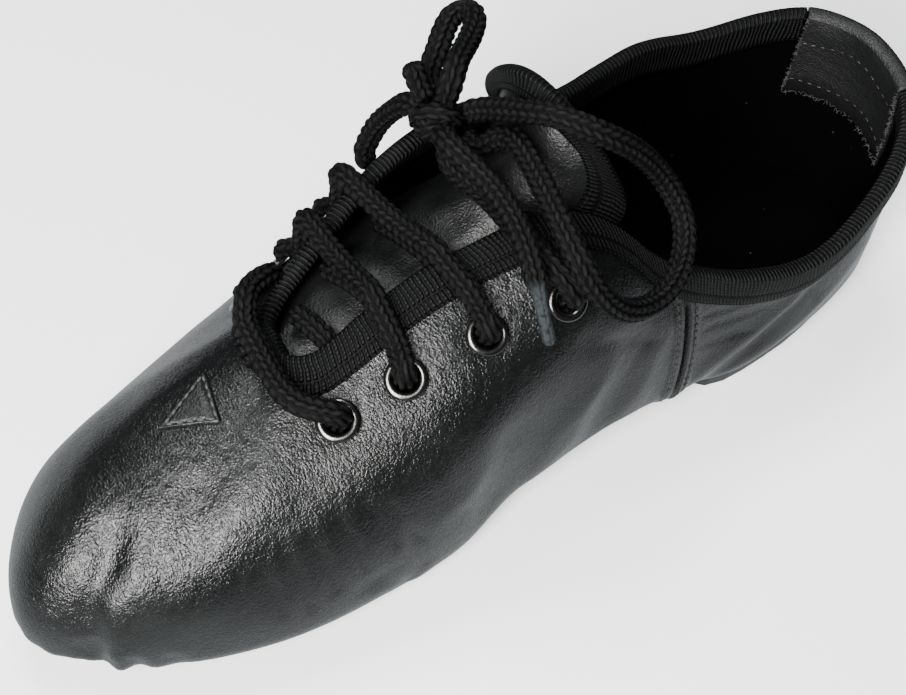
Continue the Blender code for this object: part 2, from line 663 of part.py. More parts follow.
def eyelets(frames, side_name, shell):
    """Metal eyelets, each in its own hole through the upper."""
    top = EYELET_LIFT + EYELET_FLANGE
    hole, barrel, outer = EYELET_HOLE / 2, EYELET_BARREL / 2, EYELET_OUTER / 2
    profile = ((hole, -WALL), (barrel, -WALL), (barrel, EYELET_LIFT), (outer, EYELET_LIFT),
               (outer - 0.5 * MM, top), (hole, top))
    for number, (centre, axis, *_) in enumerate(frames, 1):
        turned(f"eyelet_{side_name}_{number}", centre, axis, profile, 12, "nickel")
        bore = barrel + GAP
        disc = []
        side = unit(np.cross(axis, (0.3, 1.0, 0.2)))
        front = np.cross(axis, side)
        for height in (-4 * WALL, 2 * WALL):
            disc.append([centre + axis * height + bore * (side * math.cos(a) + front * math.sin(a))
                         for a in np.linspace(0, 2 * math.pi, 12, endpoint=False)])
        cutter = loft(f"cut_{side_name}_{number}", disc, "nickel")
        cutter.hide_render = True
        cutter.display_type = "WIRE"
        cut = shell.modifiers.new(cutter.name, "BOOLEAN")
        cut.operation = "DIFFERENCE"
        cut.solver = "EXACT"
        cut.object = cutter


def smooth_route(points, spacing):
    """Evenly spaced points of the smooth curve through a route's own points."""
    points = [np.asarray(p, float) for p in points]
    dense = np.array([along(points, t, False)
                      for t in np.linspace(0, len(points) - 1, 24 * len(points))])
    length = np.concatenate([[0], np.cumsum(np.linalg.norm(np.diff(dense, axis=0), axis=1))])
    count = max(int(round(length[-1] / spacing)) + 1, 4)
    marks = np.linspace(0, length[-1], count)
    return np.stack([np.interp(marks, length, dense[:, i]) for i in range(3)], 1)


def cord(name, points, spacing):
    """A round lace along a route, as a bevelled curve with closed ends."""
    curve = bpy.data.curves.new(name, "CURVE")
    curve.dimensions = "3D"
    curve.bevel_depth = LACE / 2
    curve.bevel_resolution = 2
    curve.use_fill_caps = True
    route = smooth_route(points, spacing)
    spline = curve.splines.new("POLY")
    spline.points.add(len(route) - 1)
    for point, value in zip(spline.points, route):
        point.co = (*place(value), 1)
    curve.materials.append(finish("lace"))
    thing = bpy.data.objects.new(name, curve)
    bpy.context.scene.collection.objects.link(thing)
    return thing


def bar_leg(frame):
    """One half of a lace bar: out of its eyelet, over the wall and its tape to the throat."""
    centre, normal, up, s, depth = frame
    radius = LACE / 2
    start = EYELET_LIFT + EYELET_FLANGE + GAP + BAR_CLEAR
    above = GAP + TAPE_THICKNESS + GAP + radius + BAR_CLEAR
    leg = [centre + normal * start, centre + normal * (start + radius) + up * BAR_CLEAR]
    for left in (depth - 0.9 * LACE, depth / 2 - radius / 2, 0.0):
        points, normals, _ = LAST.wall_frame(s, [left])
        leg.append(points[0] + normals[0] * above)
    points, normals, ups = LAST.wall_frame(s, [0.0])
    leg.append(points[0] + normals[0] * (above - BAR_DIP / 2) + ups[0] * 0.8 * LACE)
    return leg


def lace_bars(inner, outer, tongue):
    """The lace where it crosses the throat: bars over it, and runs under it between them."""
    radius = LACE / 2
    for number in range(len(UNDER_RUNS)):
        near, far = bar_leg(inner[number]), bar_leg(outer[number])
        middle = (near[-1] + far[-1]) / 2 - np.array([0, 0, BAR_DIP])
        cord(f"lace_bar_{number + 1}", near + [middle] + far[::-1], BAR_STEP)
    for number, (start_uw, end_uw) in enumerate(UNDER_RUNS, 1):
        route = []
        for share in np.linspace(0, 1, 5):
            u, w = (a + (b - a) * share for a, b in zip(start_uw, end_uw))
            route.append(tongue.point(u, w) + tongue.normal(u, w) * (radius + GAP + 0.1 * MM))
        cord(f"lace_under_{number}", route, BAR_STEP)


# Spare room of a bar over its tape, and how far it dips between the throat's edges
BAR_CLEAR = 0.5 * MM
BAR_DIP = 1.2 * MM

# Runs of lace on the tongue, from (u, w) near the outer edge to (u, w) near the inner edge
UNDER_RUNS = (((0.225, -0.22), (0.245, 0.45)), ((0.320, -0.45), (0.355, 0.45)),
              ((0.440, -0.50), (0.475, 0.48)))

# Middle and half-sizes of the bow's knot, in millimetres from the heel, and how far a cord runs
# straight out of it
KNOT = (132.0, -17.0, 81.5)
KNOT_HALF = (6.5, 6.5, 5.5)
KNOT_LEAD = 4.5

# The lace beyond the top eyelets, a row a cord: its direction out of the knot at its start and at
# its end, where it has one, and the points between, in millimetres from the heel
LACE_ROUTES = (
    ("lace_strand_inner", None, (0.15, 0.85, -0.50),
     ((128.6, 29.5, 69.2), (129.6, 30.3, 72.5), (131.3, 26.5, 76.0), (132.0, 19.0, 76.5),
      (132.0, 9.0, 76.3), (132.3, 0.0, 76.0))),
    ("lace_strand_outer", None, (0.06, -0.95, -0.30),
     ((138.3, -31.9, 58.3), (138.8, -34.3, 59.4), (137.6, -35.0, 62.4), (135.4, -34.6, 67.1),
      (133.7, -32.0, 72.4))),
    ("lace_loop_large", (-0.45, 0.88, -0.15), (-0.70, 0.55, 0.45),
     ((123.6, -3.0, 84.8), (125.6, 9.5, 85.6), (128.6, 22.0, 84.4), (128.8, 31.0, 79.7),
      (123.6, 35.8, 70.5), (114.2, 36.4, 64.2), (105.0, 34.4, 63.4), (97.4, 29.0, 65.2),
      (94.0, 22.6, 69.6), (97.0, 16.7, 77.6), (104.8, 14.5, 87.1), (112.8, 11.5, 93.2),
      (118.8, 5.0, 95.0), (121.8, -2.0, 92.0))),
    ("lace_loop_small", (-0.27, -0.03, 0.96), (-0.35, -0.90, 0.28),
     ((126.0, -20.2, 93.0), (120.0, -25.0, 92.0), (115.0, -29.6, 91.8), (113.3, -33.5, 91.2),
      (115.9, -35.3, 90.5), (119.8, -33.6, 89.2), (124.4, -29.9, 87.2))),
    ("lace_end_long", (0.40, 0.84, 0.37), None,
     ((135.6, -2.0, 85.0), (134.0, 6.0, 83.0), (134.8, 15.5, 82.0), (137.0, 24.5, 79.5),
      (138.6, 31.5, 73.5), (138.0, 34.8, 66.0))),
    ("lace_end_short", (0.42, -0.50, 0.76), None,
     ((136.7, -22.6, 90.2), (137.1, -23.0, 91.6))),
)


def knot():
    """The bow's knot as one plain closed form."""
    mesh = bpy.data.meshes.new("lace_knot")
    form = bmesh.new()
    bmesh.ops.create_icosphere(form, subdivisions=2, radius=1.0)
    for vert in form.verts:
        vert.co = Vector(place([(k + h * c) * MM for k, h, c in zip(KNOT, KNOT_HALF, vert.co)]))
    form.to_mesh(mesh)
    form.free()
    mesh.shade_smooth()
    thing = bpy.data.objects.new("lace_knot", mesh)
    thing.data.materials.append(finish("lace"))
    bpy.context.scene.collection.objects.link(thing)


def knot_lead(direction):
    """Two points, the knot's surface first, where a cord leaves it face to face."""
    way = unit(direction)
    surface = 1 / np.linalg.norm(way / np.array(KNOT_HALF)) * MM + GAP
    middle = np.array(KNOT) * MM
    return [middle + way * surface, middle + way * (surface + KNOT_LEAD * MM)]


def bow():
    """The knot and each cord of the bow."""
    knot()
    for name, start, end, between in LACE_ROUTES:
        route = [np.array(point) * MM for point in between]
        if start:
            route = knot_lead(start) + route
        if end:
            route = route + knot_lead(end)[::-1]
        cord(name, route, LOOP_STEP)


def main():
    """Build the shoe's pieces, sole first and lace last."""
    for thing in list(bpy.data.objects):
        bpy.data.objects.remove(thing, do_unlink=True)
    shell = upper()
    soles()
    bindings()
    tongue = Tongue()
    tongue.sheet()
    tongue.binding()
    inner = eyelet_frames(INNER_EYELETS, 1)
    outer = eyelet_frames(OUTER_EYELETS, -1)
    eyelets(inner, "inner", shell)
    eyelets(outer, "outer", shell)
    lace_bars(inner, outer, tongue)
    bow()


main()
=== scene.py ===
"""Dressed model of a right jazz shoe: creased leather, ribbed tape, braided lace, metal eyelets.

The shoe stands on z = 0 with +X to the toe and +Y to its inner side. All sizes are in metres
unless a name ends in _mm, and a place given as a share is a share of a size of the last.
"""

import json
import logging
import math
from dataclasses import dataclass, field
from enum import Enum
from typing import Callable, Optional, Sequence, Union

import bpy
import numpy as np
from mathutils import Matrix, Vector

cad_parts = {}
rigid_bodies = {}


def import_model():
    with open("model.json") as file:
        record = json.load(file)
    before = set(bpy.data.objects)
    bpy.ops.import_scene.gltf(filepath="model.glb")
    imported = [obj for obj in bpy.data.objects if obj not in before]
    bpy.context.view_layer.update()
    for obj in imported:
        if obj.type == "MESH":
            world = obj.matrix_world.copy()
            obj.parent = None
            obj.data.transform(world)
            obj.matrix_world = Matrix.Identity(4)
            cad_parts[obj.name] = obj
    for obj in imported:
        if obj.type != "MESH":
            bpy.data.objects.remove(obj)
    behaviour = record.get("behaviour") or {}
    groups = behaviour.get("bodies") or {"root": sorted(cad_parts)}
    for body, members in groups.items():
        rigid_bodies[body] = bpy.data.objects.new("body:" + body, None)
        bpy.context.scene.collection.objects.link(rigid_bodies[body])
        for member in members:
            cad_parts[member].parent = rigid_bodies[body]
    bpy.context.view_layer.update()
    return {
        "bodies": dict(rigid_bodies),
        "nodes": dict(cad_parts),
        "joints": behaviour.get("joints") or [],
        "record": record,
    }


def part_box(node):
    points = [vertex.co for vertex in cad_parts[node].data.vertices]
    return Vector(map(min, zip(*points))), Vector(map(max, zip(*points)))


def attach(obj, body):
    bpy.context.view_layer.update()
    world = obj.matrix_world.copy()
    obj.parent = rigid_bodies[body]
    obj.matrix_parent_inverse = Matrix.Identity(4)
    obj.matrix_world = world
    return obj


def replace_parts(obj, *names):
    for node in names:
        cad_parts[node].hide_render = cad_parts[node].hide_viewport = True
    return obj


MM = 0.001
LOG = logging.getLogger("jazz_shoe")
Array = np.ndarray


class Side(Enum):
    """Which part of the upper a crease lies on."""

    TOP = "top"
    INNER = "inner"
    OUTER = "outer"


@dataclass(frozen=True)
class Sizes:
    """The last's sizes and the shoe's thicknesses."""

    length: float = 250 * MM
    ball_width: float = 86 * MM
    instep_height: float = 72 * MM
    back_height: float = 62 * MM
    tongue_height: float = 97 * MM
    toe_spring: float = 4.0 * MM
    arch_rise: float = 6.5 * MM
    wall: float = 1.6 * MM
    tongue_wall: float = 1.8 * MM
    gap: float = 0.3 * MM
    forefoot_pad: float = 2.4 * MM
    heel_pad: float = 5.6 * MM
    tape: float = 0.9 * MM
    tape_width: float = 8 * MM
    tape_gap: float = 0.35 * MM
    tab_width: float = 36 * MM
    tab_outside: float = 10 * MM
    tab_inside: float = 26 * MM
    tab_shift: float = 4 * MM
    lace: float = 5.0 * MM
    margin: float = 12 * MM
    seam_gap: float = 0.5 * MM
    heel_rest: float = 0.18
    heel_pad_end: float = 0.325
    forefoot_start: float = 0.59
    spring_start: float = 0.82
    side_seam: float = 0.365

    @property
    def back(self) -> float:
        """How far the last's back lies behind the frame's origin."""
        return self.heel_rest * self.length


SIZES = Sizes()

RIB_COLUMNS = ("x", "y", "wide", "tuck", "top_x", "top_y", "top_z", "rise", "run", "lean",
               "closed", "high")
# A row a rib, from the toe tip along the inner side to the heel and back along the outer side: x
# and top_x are shares of the length, y, tuck and top_y of the ball width, wide of the instep
# height, and top_z of the instep height where high is 1 and of the back height where it is 0.
RIBS = (
    (0.996, 0.050, 0.17, 0.11, 0.724, -0.030, 0.770, 0.34, 0.40, 24, 0, 1),
    (0.978, 0.215, 0.16, 0.10, 0.727, 0.012, 0.770, 0.34, 0.40, 24, 0, 1),
    (0.920, 0.345, 0.15, 0.08, 0.727, 0.055, 0.774, 0.38, 0.42, 24, 0, 1),
    (0.842, 0.430, 0.15, 0.07, 0.712, 0.088, 0.785, 0.42, 0.42, 24, 0, 1),
    (0.766, 0.468, 0.16, 0.06, 0.688, 0.090, 0.815, 0.48, 0.42, 23, 0, 1),
    (0.690, 0.476, 0.17, 0.05, 0.645, 0.082, 0.875, 0.52, 0.42, 21, 0, 1),
    (0.622, 0.466, 0.17, 0.06, 0.590, 0.082, 0.935, 0.56, 0.42, 17, 0, 1),
    (0.562, 0.420, 0.20, 0.12, 0.530, 0.105, 0.985, 0.60, 0.40, 17, 1, 1),
    (0.496, 0.408, 0.22, 0.15, 0.475, 0.140, 1.000, 0.62, 0.38, 22, 1, 1),
    (0.436, 0.402, 0.23, 0.15, 0.432, 0.218, 0.940, 0.58, 0.34, 38, 1, 1),
    (0.388, 0.400, 0.23, 0.12, 0.397, 0.303, 0.825, 0.50, 0.30, 62, 1, 1),
    (0.336, 0.400, 0.21, 0.08, 0.344, 0.358, 0.715, 0.35, 0.30, 82, 0.4, 1),
    (0.280, 0.405, 0.20, 0.05, 0.286, 0.395, 0.735, 0.33, 0.33, 90, 0, 0),
    (0.222, 0.402, 0.19, 0.05, 0.222, 0.410, 0.690, 0.33, 0.33, 92, 0, 0),
    (0.164, 0.382, 0.19, 0.05, 0.162, 0.385, 0.735, 0.33, 0.33, 90, 0, 0),
    (0.100, 0.330, 0.19, 0.05, 0.098, 0.319, 0.820, 0.33, 0.33, 86, 0, 0),
    (0.042, 0.222, 0.21, 0.05, 0.045, 0.200, 0.920, 0.33, 0.33, 80, 0, 0),
    (0.012, 0.000, 0.24, 0.05, 0.024, 0.000, 0.985, 0.36, 0.33, 76, 0, 0),
    (0.042, -0.222, 0.21, 0.05, 0.045, -0.208, 0.985, 0.33, 0.33, 80, 0, 0),
    (0.100, -0.330, 0.19, 0.05, 0.098, -0.322, 0.925, 0.33, 0.33, 85, 0, 0),
    (0.164, -0.380, 0.19, 0.05, 0.162, -0.385, 0.870, 0.33, 0.33, 88, 0, 0),
    (0.226, -0.402, 0.19, 0.05, 0.224, -0.405, 0.900, 0.33, 0.33, 90, 0, 0),
    (0.296, -0.418, 0.20, 0.05, 0.290, -0.395, 0.885, 0.33, 0.33, 88, 0, 0),
    (0.366, -0.434, 0.20, 0.08, 0.352, -0.365, 0.775, 0.38, 0.30, 78, 0.4, 1),
    (0.430, -0.450, 0.20, 0.11, 0.412, -0.335, 0.890, 0.40, 0.22, 62, 1, 1),
    (0.490, -0.470, 0.20, 0.13, 0.466, -0.322, 0.965, 0.40, 0.18, 72, 1, 1),
    (0.550, -0.490, 0.19, 0.12, 0.520, -0.298, 0.975, 0.40, 0.20, 76, 1, 1),
    (0.606, -0.504, 0.18, 0.09, 0.575, -0.262, 0.950, 0.38, 0.20, 78, 0.2, 1),
    (0.662, -0.500, 0.17, 0.07, 0.632, -0.215, 0.870, 0.34, 0.20, 78, 0, 1),
    (0.726, -0.470, 0.16, 0.07, 0.670, -0.172, 0.820, 0.28, 0.20, 76, 0, 1),
    (0.796, -0.415, 0.15, 0.07, 0.698, -0.138, 0.785, 0.24, 0.16, 68, 0, 1),
    (0.872, -0.335, 0.15, 0.08, 0.714, -0.105, 0.768, 0.24, 0.14, 50, 0, 1),
    (0.944, -0.215, 0.16, 0.10, 0.722, -0.072, 0.765, 0.27, 0.20, 34, 0, 1),
)
HEEL_ROW = 17

# A row up the tongue, with x, y, z, half width, drop, sweep and turn: x, sweep and turn are shares
# of the length, y, half width and drop of the ball width, and z of the tongue height.
TONGUE = (
    (0.780, -0.026, 0.470, 0.100, 0.030, 0.000, 0.000),
    (0.735, -0.026, 0.500, 0.135, 0.050, 0.000, 0.000),
    (0.680, -0.032, 0.545, 0.178, 0.065, 0.000, 0.000),
    (0.620, -0.045, 0.592, 0.220, 0.080, 0.000, 0.000),
    (0.560, -0.050, 0.648, 0.230, 0.110, 0.004, 0.000),
    (0.515, -0.052, 0.720, 0.225, 0.165, 0.024, 0.000),
    (0.485, -0.050, 0.820, 0.222, 0.215, 0.043, 0.000),
    (0.470, -0.056, 0.915, 0.240, 0.225, 0.042, 0.009),
    (0.463, -0.070, 0.965, 0.262, 0.245, 0.032, 0.018),
)
TONGUE_ROUND = 0.80  # where up the tongue its top starts to narrow
TONGUE_TOP = 0.72  # share of the width kept at its top
TONGUE_FREE = 0.60  # where its bound, free part starts

# Eyelets: share of the length, and distance below the throat's edge as a share of the ball width
INNER_EYELETS = ((0.716, 0.170), (0.654, 0.185), (0.579, 0.205), (0.507, 0.210))
OUTER_EYELETS = ((0.710, 0.165), (0.657, 0.165), (0.610, 0.168), (0.552, 0.172))


def unit(vector: Array) -> Array:
    """Make one vector, or each of a row of them, one long."""
    vector = np.asarray(vector, float)
    return vector / np.maximum(np.linalg.norm(vector, axis=-1, keepdims=True), 1e-12)


def smooth(value: Array, low: float, high: float) -> Array:
    """Go softly from 0 at low to 1 at high."""
    share = np.clip((np.asarray(value, float) - low) / (high - low), 0, 1)
    return share * share * (3 - 2 * share)


def hump(value: Array, width: float) -> Array:
    """Bell shape, 1 at nought."""
    return np.exp(-(np.asarray(value, float) / width) ** 2)


def noise(points: Array, pitch: float, seed: int, octaves: int = 2) -> Array:
    """Soft, repeatable noise from a few turned waves.

    Args:
        points: places, the last axis holding x, y and z.
        pitch: length of the longest wave.
        seed: which noise.
        octaves: how many sets of waves, each half as long as the one before.

    Returns:
        A value for each place, mostly between -1 and 1.
    """
    source = np.random.default_rng(seed)
    total = np.zeros(points.shape[:-1])
    for octave in range(octaves):
        waves = unit(source.normal(size=(7, 3))) * 2 * math.pi / (pitch / 2 ** octave)
        starts = source.uniform(0, 2 * math.pi, 7)
        layer = sum(np.sin(points @ w + p) for w, p in zip(waves, starts)) / 3.2
        total += layer / 2 ** octave
    return total


class Curve:
    """A smooth curve through evenly numbered values, closed or open."""

    def __init__(self, values: Array, closed: bool) -> None:
        self.values = np.asarray(values, float)
        self.closed = closed
        count = len(self.values)
        system, right = np.zeros((count, count)), np.zeros_like(self.values)
        for i in range(count):
            if closed or 0 < i < count - 1:
                after = (i + 1) % count
                system[i, i - 1] += 1
                system[i, i] += 4
                system[i, after] += 1
                right[i] = 6 * (self.values[after] - 2 * self.values[i] + self.values[i - 1])
            else:
                system[i, i] = 1
        self.bend = np.linalg.solve(system, right)

    def at(self, places: Union[float, Array]) -> Array:
        """Read the curve at row numbers."""
        places = np.asarray(places, float)
        count = len(self.values)
        first = np.floor(places).astype(int)
        if not self.closed:
            first = np.clip(first, 0, count - 2)
        share = (places - first)[..., None]
        a, b = first % count, (first + 1) % count
        rest = 1 - share
        return (rest * self.values[a] + share * self.values[b]
                + (rest ** 3 - rest) * self.bend[a] / 6
                + (share ** 3 - share) * self.bend[b] / 6)


def bezier(points: Sequence[Array], shares: Array) -> Array:
    """Cubic curve through control points of n rows, read at m shares: (n, m, 3)."""
    t = shares[None, :, None]
    a, b, c, d = (np.asarray(p, float)[:, None, :] for p in points)
    return (1 - t) ** 3 * a + 3 * (1 - t) ** 2 * t * b + 3 * (1 - t) * t ** 2 * c + t ** 3 * d


def travel(points: Array) -> Array:
    """Length travelled along a row of places, from nought."""
    return np.concatenate([[0], np.cumsum(np.linalg.norm(np.diff(points, axis=0), axis=1))])


def evenly(points: Array, pace: float) -> Array:
    """Points of a smooth route, evenly spaced about pace apart."""
    points = np.asarray(points, float)
    dense = Curve(points, False).at(np.linspace(0, len(points) - 1, 60 * len(points)))
    run = travel(dense)
    marks = np.linspace(0, run[-1], max(int(round(run[-1] / pace)) + 1, 4))
    return np.stack([np.interp(marks, run, dense[:, i]) for i in range(3)], 1)


class Last:
    """The form of the shoe, read from its ribs, in the part's own frame."""

    def __init__(self, sizes: Sizes = SIZES) -> None:
        self.sizes = sizes
        rows = np.array(RIBS, float)
        scale = {"x": sizes.length, "top_x": sizes.length, "y": sizes.ball_width,
                 "top_y": sizes.ball_width, "tuck": sizes.ball_width,
                 "wide": sizes.instep_height}
        for i, name in enumerate(RIB_COLUMNS):
            rows[:, i] *= scale.get(name, 1.0)
        high = RIB_COLUMNS.index("high")
        heights = np.where(rows[:, high] > 0, sizes.instep_height, sizes.back_height)
        rows[:, RIB_COLUMNS.index("top_z")] *= heights
        for name in ("x", "top_x"):
            rows[:, RIB_COLUMNS.index(name)] -= sizes.back
        self.curve = Curve(rows, True)
        self.count = len(rows)

    def read(self, name: str, s: Array) -> Array:
        """One column at the given row numbers."""
        return self.curve.at(s)[..., RIB_COLUMNS.index(name)]

    def underside(self, x: Array) -> Array:
        """Height of the upper's outer face under the foot."""
        z = self.sizes
        x = np.asarray(x, float) + z.back
        start, end = z.heel_pad_end * z.length, z.forefoot_start * z.length
        share = np.clip((x - start) / (end - start), 0, 1)
        ease = share * share * (3 - 2 * share)
        heel, fore = z.heel_pad + z.gap, z.forefoot_pad + z.gap
        spring = np.maximum((x / z.length - z.spring_start) / (1 - z.spring_start), 0)
        return (heel + (fore - heel) * ease + z.arch_rise * np.sin(math.pi * share) ** 2
                + z.toe_spring * spring ** 2)

    def centre(self, x: Array) -> Array:
        """Middle line of the sole."""
        share = np.minimum(np.asarray(x) / self.sizes.length + self.sizes.heel_rest, 1.0)
        return -0.02 * self.sizes.ball_width * np.sin(math.pi * share)

    def outline(self, s: Array) -> Array:
        """Widest line of the shoe in plan: (n, 2)."""
        return np.stack([self.read("x", s), self.read("y", s)], -1)

    def inward(self, s: Array) -> Array:
        """Level direction into the shoe: (n, 3)."""
        run = unit(self.outline(s + 0.05) - self.outline(s - 0.05))
        return np.stack([-run[:, 1], run[:, 0], np.zeros(len(run))], -1)

    def corner(self, s: Array, inset: float = 0.0) -> Array:
        """Where each rib turns under the foot."""
        point = self.outline(s) + self.inward(s)[:, :2] * (self.read("tuck", s) + inset)[:, None]
        return np.concatenate([point, self.underside(point[:, 0])[:, None]], 1)

    def margin(self, s: Array) -> Array:
        """Inner end of the lasting margin; under the arch the two sides meet."""
        corner = self.corner(s)
        plain = corner + self.inward(s) * self.sizes.margin
        middle = self.centre(corner[:, 0])
        side = np.where(corner[:, 1] > middle, 1.0, -1.0)
        seam = np.stack([corner[:, 0], middle + side * self.sizes.seam_gap / 2,
                         np.zeros(len(side))], 1)
        closed = np.clip(self.read("closed", s), 0, 1)[:, None]
        point = plain + (seam - plain) * closed
        point[:, 2] = self.underside(point[:, 0])
        return point

    def skin(self, s: Array, low: int, high: int) -> Array:
        """Outer face from the sole corner to the top edge: (n, low + high, 3)."""
        outline = self.outline(s)
        wide = np.concatenate([outline, self.read("wide", s)[:, None]], 1)
        corner, inward = self.corner(s), self.inward(s)
        top = np.stack([self.read(n, s) for n in ("top_x", "top_y", "top_z")], 1)
        turn = 0.6
        below = wide.copy()
        below[:, 2] -= turn * (wide[:, 2] - corner[:, 2])
        first = bezier((corner, corner - inward * turn * self.read("tuck", s)[:, None], below,
                        wide), np.linspace(0, 1, low, endpoint=False))
        reach = np.linalg.norm(top - wide, axis=1)[:, None]
        lean = np.radians(self.read("lean", s))[:, None]
        arrive = inward * np.cos(lean) + np.array([0, 0, 1.0]) * np.sin(lean)
        up = wide + np.array([0, 0, 1.0]) * self.read("rise", s)[:, None] * reach
        second = bezier((wide, up, top - arrive * self.read("run", s)[:, None] * reach, top),
                        np.linspace(0, 1, high))
        return np.concatenate([first, second], 1)

    def below_top(self, s: Array, depths: Array) -> Array:
        """Places at given lengths below the top edge: (n, m, 3)."""
        skin = self.skin(s, 16, 120)[:, ::-1]
        run = np.cumsum(np.linalg.norm(np.diff(skin, axis=1), axis=2), axis=1)
        run = np.concatenate([np.zeros((len(s), 1)), run], 1)
        found = np.empty((len(s), len(depths), 3))
        for k in range(len(s)):
            for axis in range(3):
                found[k, :, axis] = np.interp(depths, run[k], skin[k, :, axis])
        return found

    def wall(self, s: Array, depths: Array) -> tuple[Array, Array, Array]:
        """Places below the top edge, with outward normals and upward directions."""
        s, depths = np.asarray(s, float), np.asarray(depths, float)
        here = self.below_top(s, depths)
        run = self.below_top(s + 0.04, depths) - self.below_top(s - 0.04, depths)
        up = (self.below_top(s, np.maximum(depths - 1 * MM, 0))
              - self.below_top(s, depths + 1 * MM))
        return here, unit(np.cross(run, up)), unit(up)

    def row_at(self, share: float, depth: float, inner: bool) -> float:
        """Row number where the wall, at a depth, is at a share of the length."""
        low, high = (2.0, 12.0) if inner else (self.count - 11.0, self.count - 1.0)
        rows = np.linspace(low, high, 240)
        x = self.below_top(rows, np.array([depth]))[:, 0, 0]
        return float(rows[np.argmin(np.abs(x - (share - self.sizes.heel_rest)
                                           * self.sizes.length))])

    def seam_rows(self) -> list[float]:
        """Row numbers of the inner and the outer side seam."""
        found = []
        for low, high in ((1.0, HEEL_ROW), (HEEL_ROW, self.count - 1.0)):
            rows = np.linspace(low, high, 600)
            x = self.read("x", rows) + self.sizes.back
            found.append(float(rows[np.argmin(np.abs(x - self.sizes.side_seam
                                                     * self.sizes.length))]))
        return found

    def tab_rows(self) -> tuple[float, float]:
        """Row numbers where the heel tab starts and ends."""
        rows = np.linspace(HEEL_ROW - 3, HEEL_ROW + 3, 241)
        line = self.below_top(rows, np.array([0.0]))[:, 0]
        run = travel(line)
        middle = np.interp(HEEL_ROW, rows, run) + self.sizes.tab_shift
        half = self.sizes.tab_width / 2
        return (float(np.interp(middle - half, run, rows)),
                float(np.interp(middle + half, run, rows)))


LAST = Last()


class Tongue:
    """The tongue's sheet: u runs up it from 0 to 1, w across it from -1 to 1."""

    def __init__(self, sizes: Sizes = SIZES) -> None:
        rows = np.array(TONGUE, float)
        scale = (sizes.length, sizes.ball_width, sizes.tongue_height, sizes.ball_width,
                 sizes.ball_width, sizes.length, sizes.length)
        rows = rows * np.array(scale)
        rows[:, 0] -= sizes.back
        self.curve = Curve(rows, False)
        self.last_row = len(rows) - 1

    def point(self, u: Array, w: Array) -> Array:
        """Places of the tongue's upper face."""
        u, w = np.broadcast_arrays(np.asarray(u, float), np.asarray(w, float))
        x, y, z, half, drop, sweep, turn = np.moveaxis(self.curve.at(u * self.last_row), -1, 0)
        return np.stack([x - sweep * w * w - turn * w, y + half * w, z - drop * w * w], -1)

    def normal(self, u: Array, w: Array) -> Array:
        """Outward directions of the upper face."""
        u = np.minimum(u, 0.985)
        run = self.point(u + 0.01, w) - self.point(u - 0.01, w)
        across = self.point(u, w + 0.01) - self.point(u, w - 0.01)
        return unit(np.cross(across, run))

    def spread(self, u: Array) -> Array:
        """Share of the width that the sheet keeps at u."""
        turn = np.maximum((np.asarray(u) - TONGUE_ROUND) / (1 - TONGUE_ROUND), 0.0)
        return np.sqrt(1 - (1 - TONGUE_TOP ** 2) * turn ** 3)


TONGUE_FORM = Tongue()


# ---------------------------------------------------------------- shading


class Socket:
    """A shader value that Python's operators work on."""

    def __init__(self, shader: "Shader", link: bpy.types.NodeSocket) -> None:
        self.shader = shader
        self.link = link

    def _maths(self, operation: str, *others: Union["Socket", float]) -> "Socket":
        """Add one Math node."""
        values = {i: v for i, v in enumerate(others)}
        return self.shader.node("ShaderNodeMath", {"operation": operation}, values)

    def __add__(self, other: Union["Socket", float]) -> "Socket":
        """Sum."""
        return self._maths("ADD", self, other)

    def __radd__(self, other: float) -> "Socket":
        """Sum with a number first."""
        return self._maths("ADD", other, self)

    def __sub__(self, other: Union["Socket", float]) -> "Socket":
        """Difference."""
        return self._maths("SUBTRACT", self, other)

    def __rsub__(self, other: float) -> "Socket":
        """Difference with a number first."""
        return self._maths("SUBTRACT", other, self)

    def __mul__(self, other: Union["Socket", float]) -> "Socket":
        """Product."""
        return self._maths("MULTIPLY", self, other)

    def sine(self) -> "Socket":
        """Sine of the value."""
        return self._maths("SINE", self)

    def size(self) -> "Socket":
        """The value without its sign."""
        return self._maths("ABSOLUTE", self)

    def fraction(self) -> "Socket":
        """What is left over a whole number."""
        return self._maths("FRACT", self)

    def ramp(self, low: float, high: float, start: float = 0.0, end: float = 1.0) -> "Socket":
        """Go softly from start at low to end at high."""
        return self.shader.node(
            "ShaderNodeMapRange", {"interpolation_type": "SMOOTHSTEP"},
            {"Value": self, "From Min": low, "From Max": high, "To Min": start, "To Max": end})


Colour = tuple[float, float, float]


